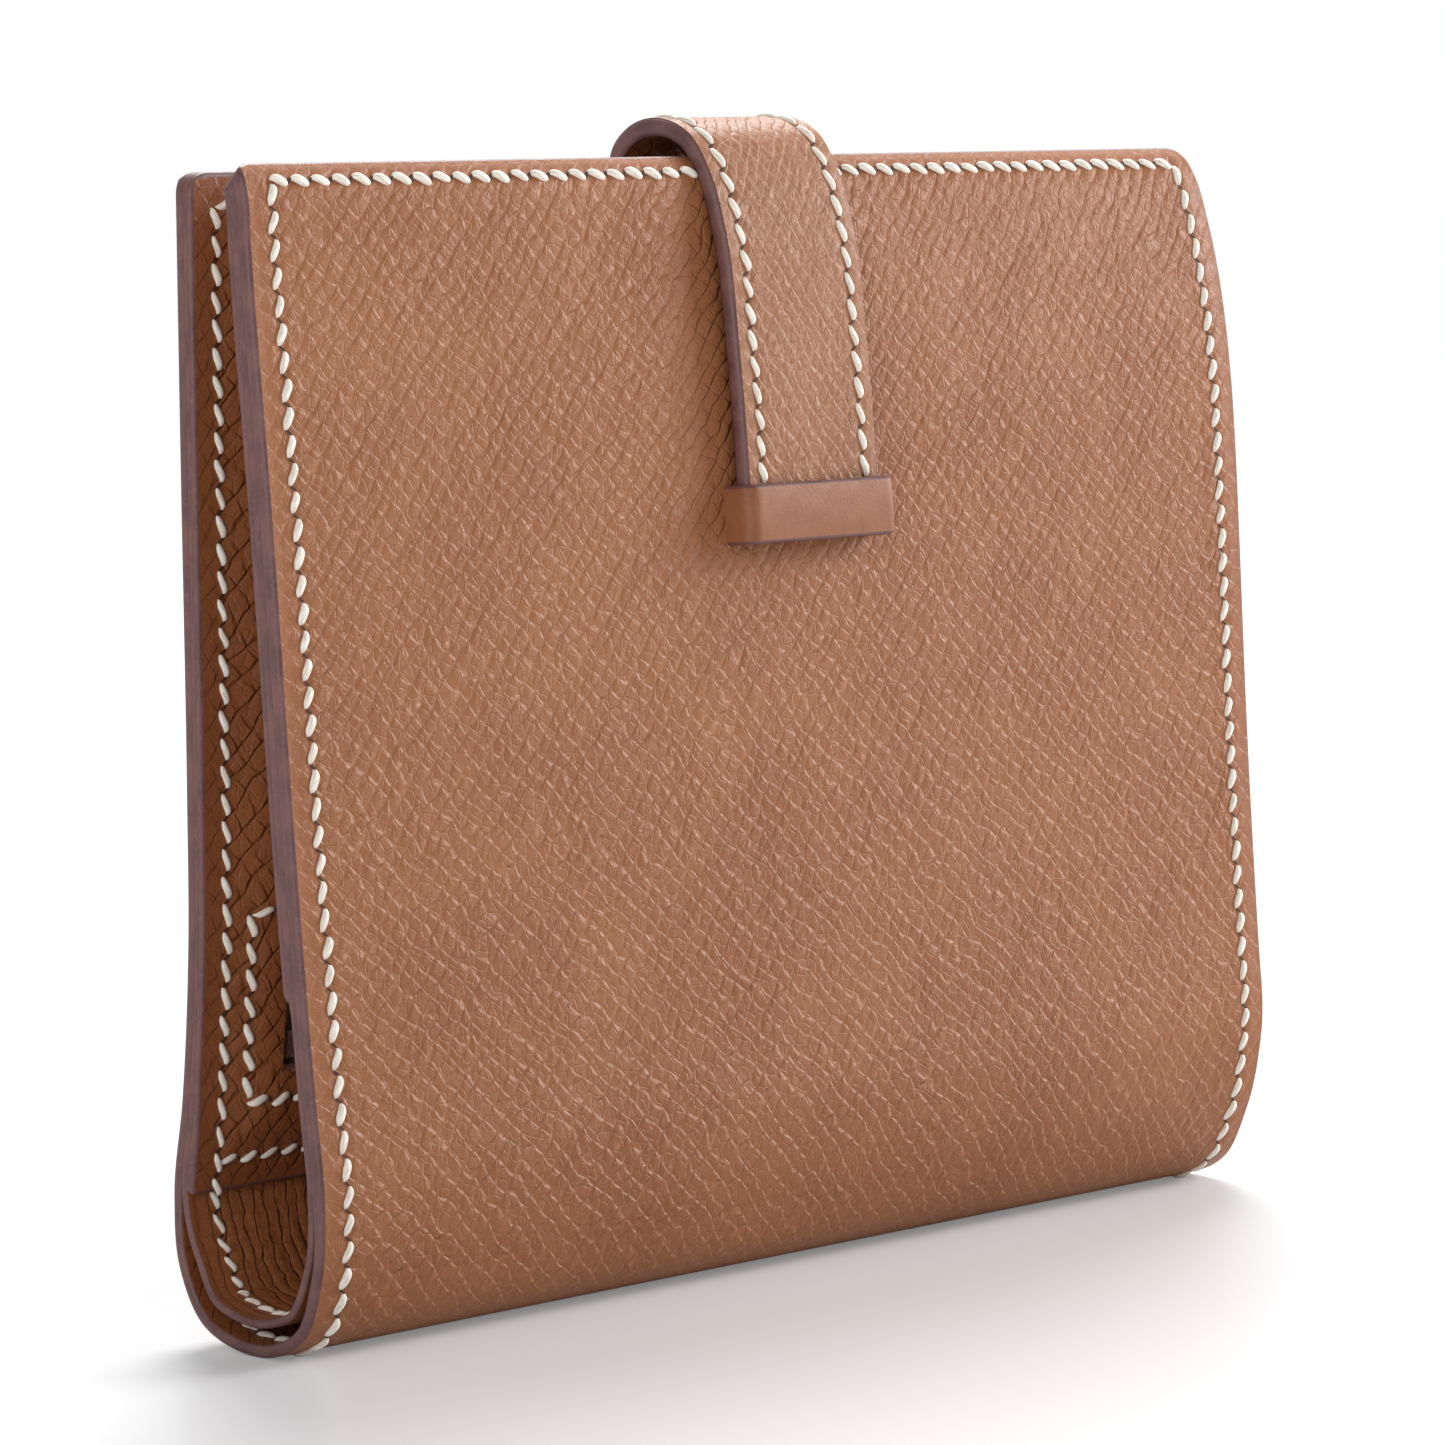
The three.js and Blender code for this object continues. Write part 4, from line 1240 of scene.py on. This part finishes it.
def card_side():
    """The card panel with its stitches, and three slots with painted edges, the last one stitched."""
    start = card_start
    card_seams = [
        Seam((-side, start + 1.2 * MM), (-side, LENGTH - SEAM_INSET), 1),
        Seam((side, start + 1.2 * MM), (side, LENGTH - SEAM_INSET), 1),
        Seam((-side, LENGTH - SEAM_INSET), (side, LENGTH - SEAM_INSET), -1),
    ]

    def outside(x, s):
        return INSIDE + pouch(x, s, start, LENGTH, 0.3 * MM)

    def inside(x, s):
        return outside(x, s) + PANEL_THICKNESS

    panel = sheet(
        "card_panel_leather",
        leather,
        grid_lines(-HALF_WIDTH, HALF_WIDTH, 0.6 * MM),
        grid_lines(start, LENGTH, 0.6 * MM),
        outside,
        lambda x, s: inside(x, s) - pucker(card_seams, x, s),
        [lining_cloth, shaded_lining_leather, edge_paint],
        corners=(1.3 * MM, LEAF_CORNER),
        edge=rounding(GLUED_EDGE, 0.4 * MM),
        seed=5,
    )
    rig.ride(panel, "front_leaf")
    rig.slot(panel, "lining_leather")
    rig.replaces(panel, "card_panel")
    rows = thread("card_panel_stitches", leather, card_seams, inside, 1, linen)
    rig.ride(rows, "front_leaf")
    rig.replaces(rows, "card_panel_seam")

    for number in (1, 2, 3):
        node = f"card_slot_{number}"
        low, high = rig.box(node)
        mouth, top = front_way(low.z), front_way(high.z)
        level = INSIDE + PANEL_THICKNESS + (0.38 + (number - 1) * 0.72) * MM
        seams = ring_of_seams(high.x - 2 * MM, mouth + 1.5 * MM, top - 1.5 * MM, 1)
        seams = [seams[0], seams[1], seams[3]] if number == 3 else [seams[0], seams[1]]
        slot_sheet = sheet(
            f"card_slot_{number}_leather",
            leather,
            grid_lines(low.x, high.x, 0.8 * MM),
            grid_lines(mouth, top, 0.8 * MM),
            lambda x, s: level + 0 * x,
            lambda x, s: level + 0.52 * MM - pucker(seams, x, s),
            [lining_cloth, shaded_lining_leather, edge_paint],
            corners=(1.2 * MM, 1.2 * MM),
            edge=rounding(0.1 * MM, 0.2 * MM),
            seed=5 + number,
        )
        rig.ride(slot_sheet, "front_leaf")
        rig.slot(slot_sheet, "lining_leather")
        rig.replaces(slot_sheet, node)
        if number == 3:
            rows = thread("card_slot_stitches", leather, seams, level + 0.52 * MM, 1, linen)
            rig.ride(rows, "front_leaf")


# ---- strap and keeper ----

STRAP_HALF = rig.box("strap_tail")[1].x + 0.3 * MM
STRAP_MIDDLE = 1.2 * MM
STRAP_THICKNESS = 1.6 * MM
STRAP_STAND_OFF = 1.15 * MM
STRAP_SEAM_INSET = 2.0 * MM
ARCH_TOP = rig.box("strap_arch_front")[1].z - STRAP_THICKNESS / 2
STRAP_HINGES = [
    ("back_leaf", "strap_arch_back", "strap_bend_back"),
    ("strap_arch_back", "strap_arch_front", "strap_bend_top"),
    ("strap_arch_front", "strap_tail", "strap_bend_front"),
]


def strap_line():
    """The strap's middle line: up the back leaf, over the top edge, down the front leaf into the keeper."""
    base_low, tail_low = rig.box("strap_base")[0].z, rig.box("strap_tail")[0].z
    middle = np.zeros(1)
    points = []
    for z in (base_low, 75 * MM, 88 * MM):
        points.append(leather(middle, np.array([back_way(z)]), -STRAP_THICKNESS / 2 - 0.08 * MM)[0, 1:])
    points += [
        (BACK_FACE + 1.5 * MM, TOP - 2.2 * MM),
        (BACK_FACE + 1.1 * MM, TOP + 1.2 * MM),
        (8.3 * MM, ARCH_TOP - 0.6 * MM),
        (5.4 * MM, ARCH_TOP - 0.1 * MM),
        (2.3 * MM, ARCH_TOP - 1.2 * MM),
        (0.1 * MM, TOP - 0.6 * MM),
    ]
    for z in (90 * MM, 80 * MM, 70 * MM, tail_low):
        points.append(leather(middle, np.array([front_way(z)]), -STRAP_STAND_OFF)[0, 1:])
    return Path(points)


strap = strap_line()


def on_strap(x, s, depth):
    """Points on the strap: s is the way along it, depth counts inwards from its middle line."""
    y, z, normal_y, normal_z = strap.at(s)
    return np.stack([STRAP_MIDDLE + x + 0 * y, y - depth * normal_y, z - depth * normal_z], axis=-1)


def strap_pieces():
    """The closing strap: one skin over the arch, cut between its hinges."""
    row = STRAP_HALF - STRAP_SEAM_INSET
    seams = [
        Seam((-row, STRAP_SEAM_INSET), (-row, strap.length), hand=1),
        Seam((row, STRAP_SEAM_INSET), (row, strap.length), hand=1),
        Seam((-row, STRAP_SEAM_INSET), (row, STRAP_SEAM_INSET), hand=-1),
    ]
    replaced = [["strap_base"], ["strap_arch_back", "strap_arch_front"], ["strap_tail"]]
    replaced_seams = [["strap_base_seam"], [], ["strap_tail_seam"]]
    half = STRAP_THICKNESS / 2
    for number, stretch in enumerate(stretches(strap, STRAP_HINGES, 0.0, strap.length)):
        low, high = stretch[2:4]
        name = ("base", "arch", "tail")[number]
        piece = sheet(
            "strap_leather_" + name,
            on_strap,
            grid_lines(-STRAP_HALF, STRAP_HALF, 0.35 * MM),
            grid_lines(low, high, 0.35 * MM),
            lambda x, s: -half + pucker(seams, x, s),
            lambda x, s: half + 0 * x,
            [strap_leather, shaded_lining_leather, edge_paint],
            cut=[end for end, found in (("start", number > 0), ("end", number < 2)) if found],
            corners=(1.4 * MM if number == 0 else 0, 1.4 * MM if number == 2 else 0),
            edge=rounding(0.5 * MM, 0.5 * MM),
            seed=9,
        )
        bend(piece, strap, stretch)
        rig.slot(piece, "grain_leather")
        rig.replaces(piece, *replaced[number])
        rows = thread("strap_stitches_" + name, on_strap, seams, -half, -1, linen, keep=(low, high), size=0.9)
        bend(rows, strap, stretch)
        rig.replaces(rows, *replaced_seams[number])


def keeper():
    """The keeper loop: a band of smooth leather that rises from the front leaf, turns two corners and crosses
    over the strap's tail."""
    low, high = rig.box("keeper")
    half, rise, radius = high.x, 2.95 * MM, 1.25 * MM
    turn = np.linspace(0, math.pi / 2, 12)
    corner_x = half - radius + radius * np.cos(turn)
    corner_h = rise - radius + radius * np.sin(turn)
    right = [(half, -0.4 * MM), *zip(corner_x, corner_h)]
    band = Path([(-x, h) for x, h in right] + right[::-1], smooth=False)
    middle = front_way((low.z + high.z) / 2)
    half_height = 2.55 * MM

    def place(a, s, depth):
        x, h, normal_x, normal_h = band.at(a + band.length / 2)
        crown = 0.18 * MM * (1 - ((s - middle) / half_height) ** 2)
        return leather(STRAP_MIDDLE + x + depth * normal_x, s, -(h + crown * (h > 2 * MM) + depth * normal_h))

    piece = sheet(
        "keeper_band",
        place,
        grid_lines(-band.length / 2, band.length / 2, 0.25 * MM),
        grid_lines(middle - half_height, middle + half_height, 0.3 * MM),
        lambda x, s: 0 * x,
        lambda x, s: 0.85 * MM + 0 * x,
        [smooth_leather, shaded_lining_leather, edge_paint],
        edge=rounding(0.3 * MM, 0.2 * MM),
        seed=10,
    )
    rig.ride(piece, "front_leaf")
    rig.slot(piece, "smooth_leather")
    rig.replaces(piece, "keeper")


# ---- floor, lights, camera ----

WORLD_LIGHT = 0.4
FLOOR_GLOW = 0.2


def stage():
    """A pale floor, which mirrors only near the wallet, and a white surround."""
    shader = Shader("pale_floor", Roughness=0.3, IOR=1.45)
    place = shader.add("TexCoord", out=3)
    away = shader.add("VectorMath", {0: place}, out=1, operation="LENGTH")
    shader.set("Specular IOR Level", shader.spread(away, 0.1, 0.3, 0.5, 0.0))
    shader.set("Base Color", (0.62, 0.62, 0.63, 1.0))
    shader.set("Emission Color", (1.0, 1.0, 1.0, 1.0))
    shader.set("Emission Strength", shader.math("MULTIPLY", shader.add("LightPath"), FLOOR_GLOW))
    bpy.ops.mesh.primitive_plane_add(size=6)
    floor = bpy.context.object
    floor.name = "floor"
    floor.data.materials.append(shader.material)
    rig.stage(floor)

    world = bpy.data.worlds.new("studio")
    world.use_nodes = True
    tree = world.node_tree
    background = tree.nodes["Background"]
    background.inputs["Color"].default_value = (1, 1, 1, 1)
    seen = tree.nodes.new("ShaderNodeLightPath").outputs["Is Camera Ray"]
    strength = tree.nodes.new("ShaderNodeMapRange")
    strength.inputs["To Min"].default_value = WORLD_LIGHT
    strength.inputs["To Max"].default_value = 1.0
    tree.links.new(seen, strength.inputs["Value"])
    tree.links.new(strength.outputs[0], background.inputs["Strength"])
    bpy.context.scene.world = world


def area_light(name, place, target, size, power):
    """A box of light that faces a target."""
    light = bpy.data.lights.new(name, "AREA")
    light.shape = "RECTANGLE"
    light.size, light.size_y = size
    light.energy = power
    lamp = bpy.data.objects.new(name, light)
    bpy.context.scene.collection.objects.link(lamp)
    lamp.location = place
    lamp.rotation_euler = (Vector(target) - Vector(place)).to_track_quat("-Z", "Y").to_euler()


def lights():
    """Soft studio light: a broad one from above and behind right, a box at the right front and a fill at the
    left."""
    middle = (0, 0, 0.05)
    sky = bpy.data.lights.new("top_light", "SUN")
    sky.energy = 3.6
    sky.angle = math.radians(32)
    lamp = bpy.data.objects.new("top_light", sky)
    bpy.context.scene.collection.objects.link(lamp)
    lamp.rotation_euler = Vector((-0.62, -0.55, -1.0)).to_track_quat("-Z", "Y").to_euler()
    area_light("right_box", (0.82, -0.38, 0.4), middle, (0.45, 0.45), 9.6)
    area_light("left_fill", (-0.9, -0.35, 0.35), middle, (0.6, 0.6), 3.0)


def camera():
    """The photograph's viewing angle: a long lens, a little above the wallet, turned towards its left end."""
    data = bpy.data.cameras.new("camera")
    data.lens = 155.5
    data.sensor_width = 36
    body = bpy.data.objects.new("camera", data)
    bpy.context.scene.collection.objects.link(body)
    body.location = (-0.3937, -0.3702, 0.1051)
    turn, down = math.radians(43.575), math.radians(6.1)
    look = Vector((math.cos(turn) * math.cos(down), math.sin(turn) * math.cos(down), -math.sin(down)))
    body.rotation_euler = look.to_track_quat("-Z", "Y").to_euler()
    bpy.context.scene.camera = body


bpy.context.scene.view_settings.view_transform = "Standard"
camera()
outer_shell()
liner()
coin_pocket()
zip_parts()
card_side()
strap_pieces()
keeper()
stage()
lights()

size_file = {"cad_box": cad_box, "visual_box": [list(corner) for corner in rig.bounds()]}
with open("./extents.json", "w") as file:
    json.dump(size_file, file)
